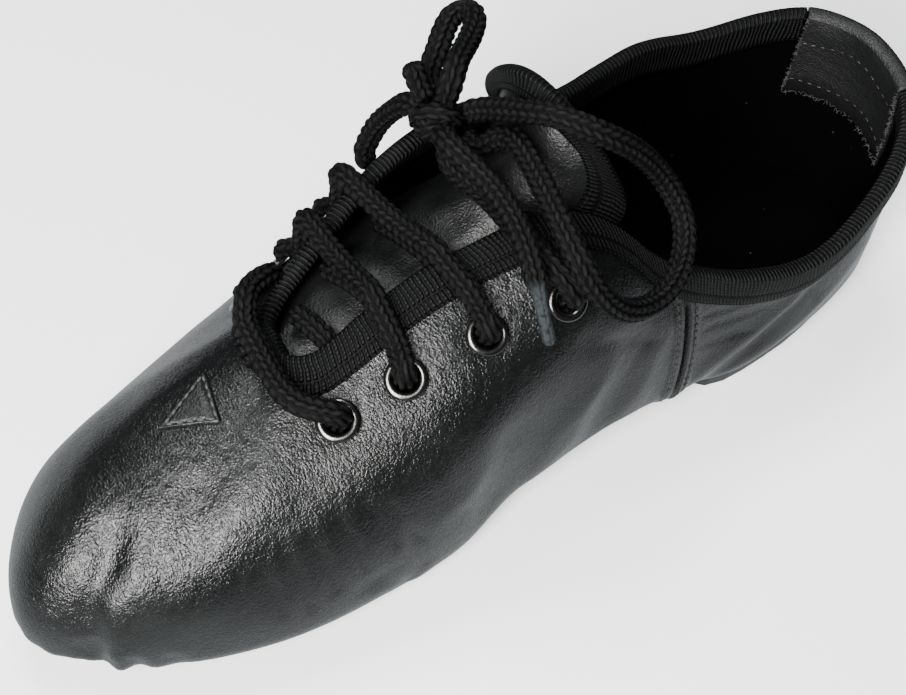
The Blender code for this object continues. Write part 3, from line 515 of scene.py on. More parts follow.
class Shader:
    """One material's nodes, made by a single method."""

    def __init__(self, name: str) -> None:
        self.material = bpy.data.materials.new(name)
        self.material.use_nodes = True
        self.tree = self.material.node_tree
        self.surface = self.tree.nodes["Principled BSDF"]

    def node(self, kind: str, settings: Optional[dict] = None, values: Optional[dict] = None,
             output: Union[int, str] = 0) -> Socket:
        """Add a node.

        Args:
            kind: the node's type.
            settings: its own settings, made first.
            values: numbers, colours or links for its sockets, by name or number.
            output: which of its outputs to return.

        Returns:
            The chosen output.
        """
        node = self.tree.nodes.new(kind)
        for name, value in (settings or {}).items():
            setattr(node, name, value)
        for name, value in (values or {}).items():
            self.feed(node.inputs[name], value)
        return Socket(self, node.outputs[output])

    def feed(self, socket: bpy.types.NodeSocket, value: object) -> None:
        """Link a socket, or set its number or colour."""
        if isinstance(value, Socket):
            self.tree.links.new(value.link, socket)
        elif isinstance(value, tuple) and len(value) == 3 and socket.type == "RGBA":
            socket.default_value = (*value, 1.0)
        else:
            socket.default_value = value

    def set(self, **values: object) -> None:
        """Feed the surface's own sockets, with _ for a space in a name."""
        for name, value in values.items():
            self.feed(self.surface.inputs[name.replace("_", " ")], value)

    def place(self) -> Socket:
        """The object's own coordinates, in metres."""
        return self.node("ShaderNodeTexCoord", output="Object")

    def flat(self) -> tuple[Socket, Socket]:
        """The piece's UV map as two numbers, in millimetres."""
        uv = self.node("ShaderNodeTexCoord", output="UV")
        split = self.tree.nodes.new("ShaderNodeSeparateXYZ")
        self.tree.links.new(uv.link, split.inputs[0])
        return Socket(self, split.outputs[0]), Socket(self, split.outputs[1])

    def stretch(self, vector: Socket, scale: tuple, turn: tuple = (0, 0, 0)) -> Socket:
        """Scale and turn a vector."""
        return self.node("ShaderNodeMapping", None,
                         {"Vector": vector, "Scale": scale, "Rotation": turn})

    def noise(self, vector: Socket, scale: float, detail: float = 2.0,
              rough: float = 0.5) -> Socket:
        """Plain noise, 0 to 1."""
        return self.node("ShaderNodeTexNoise", None,
                         {"Vector": vector, "Scale": scale, "Detail": detail,
                          "Roughness": rough})

    def cells(self, vector: Socket, scale: float, feature: str = "F1") -> Socket:
        """Distance in a field of cells."""
        return self.node("ShaderNodeTexVoronoi", {"feature": feature},
                         {"Vector": vector, "Scale": scale, "Randomness": 1.0}, "Distance")

    def attribute(self, name: str) -> Socket:
        """A number kept on the mesh."""
        return self.node("ShaderNodeAttribute", {"attribute_name": name}, None, "Fac")

    def mix(self, factor: Union[Socket, float], low: Union[Colour, Socket],
            high: Union[Colour, Socket]) -> Socket:
        """Mix two colours."""
        return self.node("ShaderNodeMix", {"data_type": "RGBA"}, {0: factor, 6: low, 7: high}, 2)

    def bump(self, height: Socket, depth: float, strength: float = 1.0) -> None:
        """Feed the surface's normal from a height."""
        self.set(Normal=self.node("ShaderNodeBump", None,
                                  {"Height": height, "Distance": depth, "Strength": strength}))


@dataclass(frozen=True)
class Leather:
    """Soft black leather with a pebbled grain and fine drawn wrinkles."""

    name: str
    colour: Colour = (0.0014, 0.0016, 0.0017)
    light: Colour = (0.0036, 0.0042, 0.0038)
    rough: float = 0.28
    cell: float = 1750.0
    depth: float = 0.09 * MM
    wrinkles: bool = True
    small_cell: float = 2.1
    crinkle_cell: float = 820.0
    cross_cell: float = 520.0
    bend: float = 0.0016

    def build(self) -> bpy.types.Material:
        """Make the material."""
        shader = Shader(self.name)
        place = shader.place()
        sway = shader.node("ShaderNodeTexNoise", None,
                           {"Vector": place, "Scale": 380.0, "Detail": 2.0}, "Color")
        bent = shader.node("ShaderNodeVectorMath", {"operation": "MULTIPLY_ADD"},
                           {0: sway, 1: (self.bend,) * 3, 2: place})
        patch = shader.noise(place, 60, 2)
        pebble = 1.0 - shader.cells(bent, self.cell).ramp(0.10, 0.75)
        small = 1.0 - shader.cells(bent, self.cell * self.small_cell).ramp(0.05, 0.8)
        height = pebble * (0.35 + patch * 0.5) + small * 0.35
        if self.wrinkles:
            amount = shader.attribute("wrinkle")
            lines = shader.stretch(bent, (1.0, 0.30, 0.6), (0.0, 0.0, 0.75))
            crinkle = shader.cells(lines, self.crinkle_cell,
                                   "DISTANCE_TO_EDGE").ramp(0.0, 0.16)
            over = shader.stretch(bent, (0.34, 1.0, 0.8), (0.0, 0.0, 0.35))
            cross = shader.cells(over, self.cross_cell, "DISTANCE_TO_EDGE").ramp(0.0, 0.12)
            height = height + (crinkle * 0.42 + cross * 0.2) * amount
        height = height + shader.noise(place, 300, 2) * 0.9 + shader.noise(place, 90, 2) * 2.2
        shader.bump(height, self.depth, 1.0)
        wear = shader.noise(place, 34, 3, 0.6)
        shader.set(
            Base_Color=shader.mix(wear.ramp(0.35, 0.7), self.colour, self.light),
            Roughness=self.rough + (wear - 0.5) * 0.14 + (pebble - 0.5) * -0.08,
            Specular_IOR_Level=0.34)
        return shader.material


@dataclass(frozen=True)
class Tape:
    """Ribbed knitted tape: raised ribs across it, in two bands with a sewn line between. Its
    colour carries painted highlights on the rib tops and painted shade in the grooves.
    """

    name: str
    rib_mm: float = 1.15
    row_mm: float = 0.95
    split_mm: float = 4.9
    edge_mm: float = 7.6
    depth: float = 0.75 * MM
    # dark is painted shade in the grooves and along the sewn line, light is the painted highlight
    # on the rib tops
    dark: Colour = (0.0004, 0.0004, 0.0004)
    light: Colour = (0.0085, 0.0098, 0.0088)

    def build(self) -> bpy.types.Material:
        """Make the material."""
        shader = Shader(self.name)
        along, across = shader.flat()
        place = shader.place()
        sway = (shader.noise(place, 160, 2) - 0.5) * 1.6
        turns = (along + sway) * (1 / self.rib_mm)
        rib = (turns * math.pi).sine().size().ramp(0.35, 0.95)
        dots = ((across + turns.fraction() * 0.30 + sway * 0.5)
                * (math.pi / self.row_mm)).sine().size()
        band = (across - self.split_mm + sway * 0.25).size().ramp(0.10, 0.55)
        edge = (across - self.edge_mm + sway * 0.25).size().ramp(0.05, 0.4, 0.35, 1.0)
        yarn = shader.noise(place, 2600, 3, 0.7)
        height = rib * (dots * 0.35 + 0.65) * band * edge
        shader.bump(height + yarn * 0.25, self.depth, 1.0)
        # painted highlight and shade: the colour goes from dark in the grooves to light on the rib
        # tops, by their height
        tip = (height + (yarn - 0.5) * 0.9).ramp(0.35, 1.15)
        shader.set(Base_Color=shader.mix(tip, self.dark, self.light), Roughness=0.55,
                   Specular_IOR_Level=0.10)
        return shader.material


@dataclass(frozen=True)
class Braid:
    """Yarn of the braided lace, with painted highlights on the tops of its plaits and painted
    shade in the gaps between them.
    """

    name: str
    # dark is painted shade in the gaps between plaits, light is the painted highlight on their
    # tops; dipped is the glued end's own colour
    dark: Colour = (0.0001, 0.0001, 0.0001)
    light: Colour = (0.0060, 0.0069, 0.0061)
    dipped: Colour = (0.020, 0.024, 0.026)

    def build(self) -> bpy.types.Material:
        """Make the material."""
        shader = Shader(self.name)
        place = shader.place()
        plait = shader.attribute("plait")
        dip = shader.attribute("dip")
        yarn = shader.noise(shader.stretch(place, (1.0, 1.0, 2.0)), 2400, 3, 0.7)
        hair = shader.noise(place, 900, 2, 0.5)
        # painted highlight and shade: lighter on the plaits' tops, near black in the gaps, by the
        # plait height
        tip = (plait + (yarn - 0.5) * 0.9 + (hair - 0.5) * 0.5).ramp(0.62, 1.25)
        base = shader.mix(tip, self.dark, self.light)
        shader.set(Base_Color=shader.mix(dip * hair.ramp(0.15, 0.6), base, self.dipped),
                   Roughness=0.50, Specular_IOR_Level=0.10)
        shader.bump(yarn + hair * 0.4, 0.34 * MM, 0.9)
        return shader.material


@dataclass(frozen=True)
class Cloth:
    """Plain dark cloth or napped leather, with a few pale specks of lint."""

    name: str
    # dark cloth, made near black as painted shade for the inside of the shoe
    colour: Colour = (0.0001, 0.0001, 0.0002)
    lint: float = 0.0
    weave: float = 1900.0

    def build(self) -> bpy.types.Material:
        """Make the material."""
        shader = Shader(self.name)
        place = shader.place()
        nap = shader.noise(place, self.weave, 3, 0.7)
        patch = shader.noise(place, 60, 2)
        base = shader.mix(patch, self.colour, tuple(c * 1.9 for c in self.colour))
        if self.lint:
            speck = shader.cells(place, 130).ramp(0.055, 0.02) * nap.ramp(0.45, 0.6)
            base = shader.mix(speck * self.lint, base, (0.05, 0.05, 0.055))
        shader.set(Base_Color=base, Roughness=0.95, Specular_IOR_Level=0.03)
        shader.bump(nap, 0.2 * MM, 0.8)
        return shader.material


@dataclass(frozen=True)
class Metal:
    """Dark nickel with faint scratches."""

    name: str
    colour: Colour = (0.085, 0.083, 0.080)
    rough: float = 0.24

    def build(self) -> bpy.types.Material:
        """Make the material."""
        shader = Shader(self.name)
        place = shader.place()
        marks = shader.noise(shader.stretch(place, (1, 3, 1)), 900, 3, 0.6)
        shader.set(Base_Color=shader.mix(marks, self.colour, tuple(c * 1.3 for c in self.colour)),
                   Metallic=1.0, Roughness=self.rough + (marks - 0.5) * 0.2)
        shader.bump(marks, 0.03 * MM, 0.4)
        return shader.material


@dataclass(frozen=True)
class Plain:
    """A matt finish with a little unevenness: rubber, thread or floor."""

    name: str
    colour: Colour
    rough: float = 0.7
    scale: float = 400.0
    depth: float = 0.1 * MM
    vary: float = 1.4

    def build(self) -> bpy.types.Material:
        """Make the material."""
        shader = Shader(self.name)
        spots = shader.noise(shader.place(), self.scale, 3, 0.6)
        shader.set(Base_Color=shader.mix(spots, self.colour,
                                         tuple(min(c * self.vary, 1.0) for c in self.colour)),
                   Roughness=self.rough)
        shader.bump(spots, self.depth, 0.5)
        return shader.material


class Finish(Enum):
    """The finishes, each with the record's slot that it belongs to."""

    UPPER = ("leather", Leather("black leather"))
    TONGUE = ("leather", Leather("tongue leather", wrinkles=False, cell=1700, depth=0.09 * MM,
                                 rough=0.42))
    TAB = ("leather", Leather("tab leather", wrinkles=False, cell=1700, depth=0.14 * MM,
                              rough=0.58, light=(0.0016, 0.0018, 0.0018)))
    TAPE = ("binding", Tape("ribbed tape"))
    LINING = ("lining", Cloth("lining cloth", lint=0.8))
    SUEDE = ("suede", Cloth("napped leather", colour=(0.0030, 0.0028, 0.0027), weave=900))
    RUBBER = ("rubber", Plain("heel rubber", (0.0020, 0.0020, 0.0021), 0.62))
    METAL = ("nickel", Metal("dark nickel"))
    BRAID = ("lace", Braid("braided yarn"))
    THREAD = ("leather", Plain("sewing thread", (0.010, 0.0105, 0.0100), 0.42, 3000))
    FLUFF = ("leather", Plain("cut fibres", (0.028, 0.028, 0.026), 0.9, 2000))


class Paints:
    """Makes each finish's material once."""

    def __init__(self) -> None:
        self.made: dict[Finish, bpy.types.Material] = {}

    def get(self, finish: Finish) -> bpy.types.Material:
        """The finish's material."""
        if finish not in self.made:
            self.made[finish] = finish.value[1].build()
        return self.made[finish]


PAINTS = Paints()


# ---------------------------------------------------------------- modelling


def deselect() -> None:
    """Leave edit mode with nothing selected."""
    if bpy.context.object and bpy.context.object.mode != "OBJECT":
        bpy.ops.object.mode_set(mode="OBJECT")
    bpy.ops.object.select_all(action="DESELECT")


def stretched(piece: bpy.types.Object, size: Sequence[float]) -> bpy.types.Object:
    """Stretch the mesh of the active piece and leave its own scale alone."""
    bpy.ops.object.mode_set(mode="EDIT")
    bpy.ops.mesh.select_all(action="SELECT")
    bpy.ops.transform.resize(value=size)
    bpy.ops.object.mode_set(mode="OBJECT")
    return piece


def sheet(name: str, points: Array, uv: Array, outward: bool = True, close: bool = False,
          marks: Optional[dict] = None, inside_from: Optional[int] = None
          ) -> bpy.types.Object:
    """Shape a grid to rows and columns of places.

    Args:
        name: the piece's name.
        points: places, (rows, columns, 3).
        uv: where each place lies on the flat piece, (rows, columns, 2).
        outward: whether rows by columns already faces out, on an open sheet.
        close: whether edges that meet are joined and the normals made to face out.
        marks: numbers kept on the mesh by name, (rows, columns) each.
        inside_from: column from which faces take the second material.

    Returns:
        The new object.
    """
    rows, columns = points.shape[:2]
    deselect()
    bpy.ops.mesh.primitive_grid_add(x_subdivisions=rows - 1, y_subdivisions=columns - 1, size=1)
    piece = bpy.context.object
    piece.name = piece.data.name = name
    mesh = piece.data
    count = len(mesh.vertices)
    flat = np.empty(count * 3, np.float32)
    mesh.vertices.foreach_get("co", flat)
    flat = flat.reshape(-1, 3)
    i = np.rint((flat[:, 0] + 0.5) * (rows - 1)).astype(int)
    j = np.rint((flat[:, 1] + 0.5) * (columns - 1)).astype(int)
    mesh.vertices.foreach_set("co", points[i, j].astype(np.float32).ravel())
    corner = np.empty(len(mesh.loops), np.int32)
    mesh.loops.foreach_get("vertex_index", corner)
    mesh.uv_layers[0].data.foreach_set("uv", uv[i, j][corner].astype(np.float32).ravel())
    for title, values in (marks or {}).items():
        layer = mesh.attributes.new(title, "FLOAT", "POINT")
        layer.data.foreach_set("value", values[i, j].astype(np.float32))
    if inside_from is not None:
        lowest = j[corner.reshape(-1, 4)].min(axis=1)
        mesh.polygons.foreach_set("material_index", (lowest >= inside_from).astype(np.int32))
    mesh.update()
    bpy.ops.object.mode_set(mode="EDIT")
    bpy.ops.mesh.select_all(action="SELECT")
    if close:
        bpy.ops.mesh.remove_doubles(threshold=0.004 * MM)
        bpy.ops.mesh.normals_make_consistent(inside=False)
    elif not outward:
        bpy.ops.mesh.flip_normals()
    bpy.ops.object.mode_set(mode="OBJECT")
    bpy.ops.object.shade_smooth()
    return piece


def dress(piece: bpy.types.Object, *finishes: Finish) -> bpy.types.Object:
    """Give a new piece its materials and its body."""
    for finish in finishes:
        piece.data.materials.append(PAINTS.get(finish))
    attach(piece, "root")
    LOG.info("%s: %d faces", piece.name, len(getattr(piece.data, "polygons", [])))
    return piece


def frames_along(path: Array) -> tuple[Array, Array]:
    """Two directions across a path that turn as little as they can."""
    run = unit(np.gradient(path, axis=0))
    first = np.cross(run[0], (0.3, 0.2, 1.0))
    sides = [unit(first)]
    for k in range(1, len(path)):
        side = sides[-1] - run[k] * np.dot(sides[-1], run[k])
        sides.append(unit(side))
    side = np.array(sides)
    return side, np.cross(run, side)


def plait(along_mm: Array, turn: Array, columns: int = 8, pitch_mm: float = 2.2) -> Array:
    """Height of a round herringbone braid, 0 in its gaps and 1 on its tops.

    Args:
        along_mm: distance along the cord.
        turn: share of a turn round it.
        columns: columns of plaits round it, leaning left and right by turns.
        pitch_mm: length of one plait.

    Returns:
        The height at each place.
    """
    column = np.floor(turn * columns) % columns
    across = turn * columns % 1.0 * 2 - 1
    lean = np.where(column % 2 == 0, 1.0, -1.0)
    lump = (along_mm / pitch_mm + lean * across * 0.30 + 0.5 * (column % 2)) % 1.0 * 2 - 1
    return np.sqrt(np.clip(1 - 0.96 * across ** 2 - 0.80 * lump ** 2, 0, 1))


ROPE_AROUND = 60  # faces round the lace
ROPE_PACE = 0.38 * MM  # length of a face along it


def rope(name: str, path: Array, radius: float, swell: Optional[Callable] = None,
         dip_mm: float = 0.0, seed: int = 1) -> bpy.types.Object:
    """A braided cord round a path, closed at both ends.

    Args:
        name: the piece's name.
        path: evenly spaced places of its middle.
        radius: half its thickness.
        swell: share of the radius along the cord, from its length in mm and the whole.
        dip_mm: length of the far end that is dipped in glue.
        seed: where the braid starts.

    Returns:
        The new object.
    """
    path = evenly(path, ROPE_PACE)
    run = travel(path) / MM
    side, front = frames_along(path)
    turn = np.linspace(0, 1, ROPE_AROUND + 1)
    along, round_it = np.meshgrid(run, turn, indexing="ij")
    height = plait(along + seed * 3.7, round_it)
    ends = np.minimum(along, run[-1] - along)
    dip = smooth(along, run[-1] - dip_mm, run[-1] - dip_mm + 3) if dip_mm else 0 * along
    keep = 1 - 0.75 * dip
    share = radius * (0.77 + 0.31 * height * keep)
    share = share * np.sqrt(1 - (1 - np.clip(ends / 1.2, 0, 1)) ** 2 * 0.75)
    wander = noise(np.repeat(path[:, None], ROPE_AROUND + 1, 1), 9 * MM, seed + 5)
    share = share * (1 + 0.025 * wander)
    if swell:
        share = share * swell(along, run[-1])
    angle = 2 * math.pi * round_it
    ring = (path[:, None] + share[..., None] * (np.cos(angle)[..., None] * side[:, None]
                                                + np.sin(angle)[..., None] * front[:, None]))
    caps = [np.repeat(path[k][None, None], ROPE_AROUND + 1, 1) for k in (0, -1)]
    points = np.concatenate([caps[0], ring, caps[1]], 0)

    def pad(values: Array) -> Array:
        """Repeat the first and last row for the caps."""
        return np.concatenate([values[:1], values, values[-1:]], 0)

    uv = pad(np.stack([along, round_it], -1))
    # the plait height kept on the mesh sets the braid's painted highlights on the plait tops and
    # painted shade between them
    return sheet(name, points, uv, close=True,
                 marks={"plait": pad(height * keep), "dip": pad(dip)})


def with_ends(grid: Array) -> Array:
    """Close both ends of a flat tube of places by drawing its two faces together."""
    half = grid.shape[1] // 2
    caps = []
    for k in (0, -1):
        middle = (grid[k, :half] + grid[k, half:-1][::-1]) / 2
        caps.append(np.concatenate([middle, middle[::-1], middle[:1]])[None])
    return np.concatenate([caps[0], grid, caps[1]])


def folded(name: str, frame: tuple[Array, Array, Array], inner: tuple[Array, Array, Array],
           wall: float, gap: float, thick: float, along_mm: Array, outside: Array,
           inside: Array, puff: Array) -> bpy.types.Object:
    """A strip folded over an edge.

    Args:
        name: the piece's name.
        frame: places, normals and upward directions down the outside, (n, m, 3) each.
        inner: the same down the inside.
        wall: thickness that it is folded over.
        gap: clearance from it.
        thick: its own thickness.
        along_mm: length along the edge of each row.
        outside: depths down the outside.
        inside: depths down the inside.
        puff: extra height of the strip's face down the outside, (n, m).

    Returns:
        The new object.
    """
    points, normal, up = frame
    deep, deep_normal, _ = inner
    near, far = gap, gap + thick
    half = wall / 2
    fold = 2.5 * MM  # length of the flat strip that goes over the edge
    centre = points[:, 0] - normal[:, 0] * half
    reach_far, reach_near = half + far, half + near
    arc = np.linspace(0, math.pi, 9)[1:-1]
    rows = [points[:, k] + normal[:, k] * (far + puff[:, k])[:, None]
            for k in range(points.shape[1] - 1, -1, -1)]
    v = [float(outside[k]) for k in range(points.shape[1] - 1, -1, -1)]
    for a in arc:
        rows.append(centre + normal[:, 0] * (reach_far * math.cos(a))
                    + up[:, 0] * (far * math.sin(a)))
        v.append(-far * math.sin(a))
    down = list(range(deep.shape[1]))
    for order, reach in ((down, far), (down[::-1], near)):
        for k in order:
            rows.append(deep[:, k] - deep_normal[:, k] * (wall + reach))
            v.append(-float(inside[k]) - fold)
    for a in arc[::-1]:
        rows.append(centre + normal[:, 0] * (reach_near * math.cos(a))
                    + up[:, 0] * (near * math.sin(a)))
        v.append(0.0)
    for k in range(points.shape[1]):
        rows.append(points[:, k] + normal[:, k] * near)
        v.append(float(outside[k]))
    rows.append(rows[0])
    v.append(v[0])
    grid = with_ends(np.stack(rows, 1))
    along_mm = np.concatenate([along_mm[:1], along_mm, along_mm[-1:]])
    uv = np.stack([np.repeat(along_mm[:, None], len(v), 1),
                   np.repeat(np.array(v)[None] / MM, len(along_mm), 0)], -1)
    return sheet(name, grid, uv, close=True)


def joined(name: str, parts: list[bpy.types.Object]) -> bpy.types.Object:
    """Join parts into one smooth piece."""
    deselect()
    for part in parts:
        part.select_set(True)
    bpy.context.view_layer.objects.active = parts[0]
    bpy.ops.object.join()
    piece = bpy.context.object
    bpy.ops.object.shade_smooth()
    piece.name = piece.data.name = name
    return piece


class Thread:
    """Rows of stitches, copied from one modelled stitch."""

    def __init__(self, length_mm: float = 1.9, thick_mm: float = 0.42) -> None:
        deselect()
        bpy.ops.mesh.primitive_uv_sphere_add(segments=8, ring_count=6, radius=0.5)
        self.model = stretched(bpy.context.object,
                               (length_mm * MM, thick_mm * MM, thick_mm * MM))
        self.model.name = "stitch"

    def sew(self, name: str, places: Array, runs: Array, normals: Array,
            finish: Finish = Finish.THREAD) -> bpy.types.Object:
        """Lay a copy at each place.

        Args:
            name: the piece's name.
            places: middles of the stitches, (n, 3).
            runs: directions along them.
            normals: directions out of the surface.
            finish: the thread's finish.

        Returns:
            The new object.
        """
        copies = []
        for place, run, normal in zip(places, unit(runs), unit(normals)):
            across = unit(np.cross(normal, run))
            copy = self.model.copy()
            copy.data = self.model.data.copy()
            bpy.context.scene.collection.objects.link(copy)
            turned = Matrix((run, across, np.cross(run, across))).transposed().to_4x4()
            copy.data.transform(Matrix.Translation(place.tolist()) @ turned)
            copies.append(copy)
        return dress(joined(name, copies), finish)

    def away(self) -> None:
        """Take the model stitch out again."""
        bpy.data.objects.remove(self.model, do_unlink=True)


# ---------------------------------------------------------------- the view


@dataclass(frozen=True)
class View:
    """The photograph's camera: direction to it, turn, offset, distance and lens."""

    azimuth: float = 49.8
    elevation: float = 52.7
    roll: float = 7.6
    right_mm: float = -8.0
    up_mm: float = -8.4
    distance_mm: float = 343.9
    lens_px: float = 1450.0
    width_px: float = 906.0
    target_mm: tuple[float, float, float] = (80.0, 0.0, 30.0)

    def build(self) -> bpy.types.Object:
        """Place the camera and make it the scene's own."""
        az, el, roll = (math.radians(a) for a in (self.azimuth, self.elevation, self.roll))
        back = np.array([math.cos(el) * math.cos(az), math.cos(el) * math.sin(az), math.sin(el)])
        right = unit(np.cross(-back, (0, 0, 1)))
        up = np.cross(right, -back)
        turned = math.cos(roll) * right + math.sin(roll) * up
        upright = -math.sin(roll) * right + math.cos(roll) * up
        place = (np.array(self.target_mm) + back * self.distance_mm + turned * self.right_mm
                 + upright * self.up_mm) * MM
        deselect()
        bpy.ops.object.camera_add(location=place.tolist())
        camera = bpy.context.object
        camera.name = "photo_camera"
        camera.data.sensor_width = 36.0
        camera.data.lens = 36.0 * self.lens_px / self.width_px
        camera.data.clip_start = 0.01
        basis = Matrix((turned, upright, back)).transposed()
        camera.matrix_world = Matrix.Translation(place.tolist()) @ basis.to_4x4()
        bpy.context.scene.camera = camera
        return camera


@dataclass(frozen=True)
class Lamp:
    """A soft light: where it hangs, what it is aimed at, its size and its power."""

    name: str
    place: tuple[float, float, float]
    size: tuple[float, float]
    power: float
    colour: Colour = (1.0, 1.0, 1.0)
    target: tuple[float, float, float] = (0.08, 0.0, 0.03)

    def build(self) -> bpy.types.Object:
        """Hang the light."""
        deselect()
        bpy.ops.object.light_add(type="AREA", location=self.place)
        lamp = bpy.context.object
        lamp.name = self.name
        lamp.data.shape = "RECTANGLE"
        lamp.data.size, lamp.data.size_y = self.size
        lamp.data.energy = self.power
        lamp.data.color = self.colour
        aim = Vector(self.target) - Vector(self.place)
        lamp.rotation_euler = aim.to_track_quat("-Z", "Y").to_euler()
        return lamp


@dataclass
class Studio:
    """Pale floor, soft lights and the camera."""

    view: View = field(default_factory=View)
    lamps: tuple[Lamp, ...] = (
        Lamp("key_light", (0.86, 0.48, 0.74), (0.38, 0.90), 64.0, (1.0, 1.0, 0.985)),
        Lamp("top_light", (0.00, -0.45, 1.10), (0.50, 0.40), 14.0, (0.97, 0.99, 1.0)),
    )
    sky: float = 0.12
    sky_colour: Colour = (0.93, 0.96, 1.0)
    floor_size: float = 6.0
    floor_colour: Colour = (0.93, 0.93, 0.93)
    card: tuple[float, float] = (0.46, 0.30)
    card_glow: float = 1.15

    def build(self) -> None:
        """Set the stage."""
        self.view.build()
        for lamp in self.lamps:
            lamp.build()
        world = bpy.data.worlds.new("studio")
        world.use_nodes = True
        ground = world.node_tree.nodes["Background"]
        ground.inputs["Color"].default_value = (*self.sky_colour, 1.0)
        ground.inputs["Strength"].default_value = self.sky
        bpy.context.scene.world = world
        deselect()
        bpy.ops.mesh.primitive_plane_add(size=self.floor_size, location=(0.08, 0, 0))
        floor = bpy.context.object
        floor.name = "studio_floor"
        floor.data.materials.append(Plain("pale floor", self.floor_colour, rough=0.8, scale=3.0,
                                          depth=0.1 * MM, vary=1.01).build())
        # the glossy leather sees a dim card in place of the floor, as under a studio's dark flags
        floor.visible_glossy = False
        deselect()
        bpy.ops.mesh.primitive_plane_add(size=1, location=(0.08, 0, -1 * MM))
        card = stretched(bpy.context.object, (*self.card, 1))
        card.name = "studio_card"
        glow = Shader("dim card")
        glow.set(Base_Color=(0.0, 0.0, 0.0), Specular_IOR_Level=0.0,
                 Emission_Color=(0.93, 0.97, 1.0), Emission_Strength=self.card_glow)
        card.data.materials.append(glow.material)
        card.visible_camera = card.visible_diffuse = card.visible_shadow = False


# ---------------------------------------------------------------- the lace


@dataclass(frozen=True)
class Eyelet:
    """One eyelet: its name, middle, outward direction and direction to the throat."""

    name: str
    centre: Array
    normal: Array
    up: Array
    row: float
    depth: float


def eyelets() -> tuple[list[Eyelet], list[Eyelet]]:
    """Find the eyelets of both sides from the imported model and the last."""
    sides = []
    for side, places in (("inner", INNER_EYELETS), ("outer", OUTER_EYELETS)):
        row = []
        for number, (share, depth) in enumerate(places, 1):
            depth *= SIZES.ball_width
            at = LAST.row_at(share, depth, side == "inner")
            point, normal, up = LAST.wall(np.array([at]), np.array([depth]))
            low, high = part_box(f"eyelet_{side}_{number}")
            middle = (np.array(low) + np.array(high)) / 2 + normal[0, 0] * 0.1 * MM
            row.append(Eyelet(f"eyelet_{side}_{number}", middle, normal[0, 0], up[0, 0], at,
                              depth))
        sides.append(row)
    return sides[0], sides[1]


# The bow in millimetres from the heel's rest: each cord's direction out of the knot at its start
# and its end, and the places between
KNOT_MM = (87.0, -17.0, 81.5)
KNOT_HALF_MM = (6.5, 6.5, 5.5)
BOW = (
    ("lace_strand_inner", None, (0.15, 0.85, -0.5),
     ((83.6, 29.5, 69.2), (84.6, 30.3, 72.5), (86.3, 26.5, 76), (87, 19, 76.5), (87, 9, 76.3),
      (87.3, 0, 76))),
    ("lace_strand_outer", None, (0.06, -0.95, -0.3),
     ((93.3, -31.9, 58.3), (93.8, -34.3, 59.4), (92.6, -35, 62.4), (90.4, -34.6, 67.1),
      (88.7, -32, 72.4))),
    ("lace_loop_large", (-0.45, 0.88, -0.15), (-0.7, 0.55, 0.45),
     ((78.6, -3, 84.8), (80.6, 9.5, 85.6), (83.6, 22, 84.4), (83.8, 31, 79.7),
      (78.6, 35.8, 70.5), (69.2, 36.4, 64.2), (60, 34.4, 63.4), (52.4, 29, 65.2),
      (49, 22.6, 69.6), (52, 16.7, 77.6), (59.8, 14.5, 87.1), (67.8, 11.5, 93.2), (73.8, 5, 95),
      (76.8, -2, 92))),
    ("lace_loop_small", (-0.27, -0.03, 0.96), (-0.35, -0.9, 0.28),
     ((81, -20.2, 93), (75, -25, 92), (70, -29.6, 91.8), (68.3, -33.5, 91.2),
      (70.9, -35.3, 90.5), (74.8, -33.6, 89.2), (79.4, -29.9, 87.2))),
    ("lace_end_long", (0.4, 0.84, 0.37), None,
     ((90.6, -2, 85), (89, 6, 83), (89.8, 15.5, 82), (92, 24.5, 79.5), (93.6, 31.5, 73.5),
      (93, 34.8, 66))),
)
FIRST_BAR_MM = ((140.6, 16.6, 57.2), (142.3, 8.8, 58.0), (141.5, 0.9, 58.6),
                (140.8, -5.2, 59.4), (138.6, -9.2, 61.0), (135.0, -12.6, 60.6))
STUB_MM = ((88.5, -20.0, 86.4), (89.3, -21.6, 89.0), (90.0, -24.0, 93.4))
UNDER_RUNS = (((0.225, -0.22), (0.245, 0.45)), ((0.320, -0.45), (0.355, 0.45)),
              ((0.440, -0.50), (0.475, 0.48)))


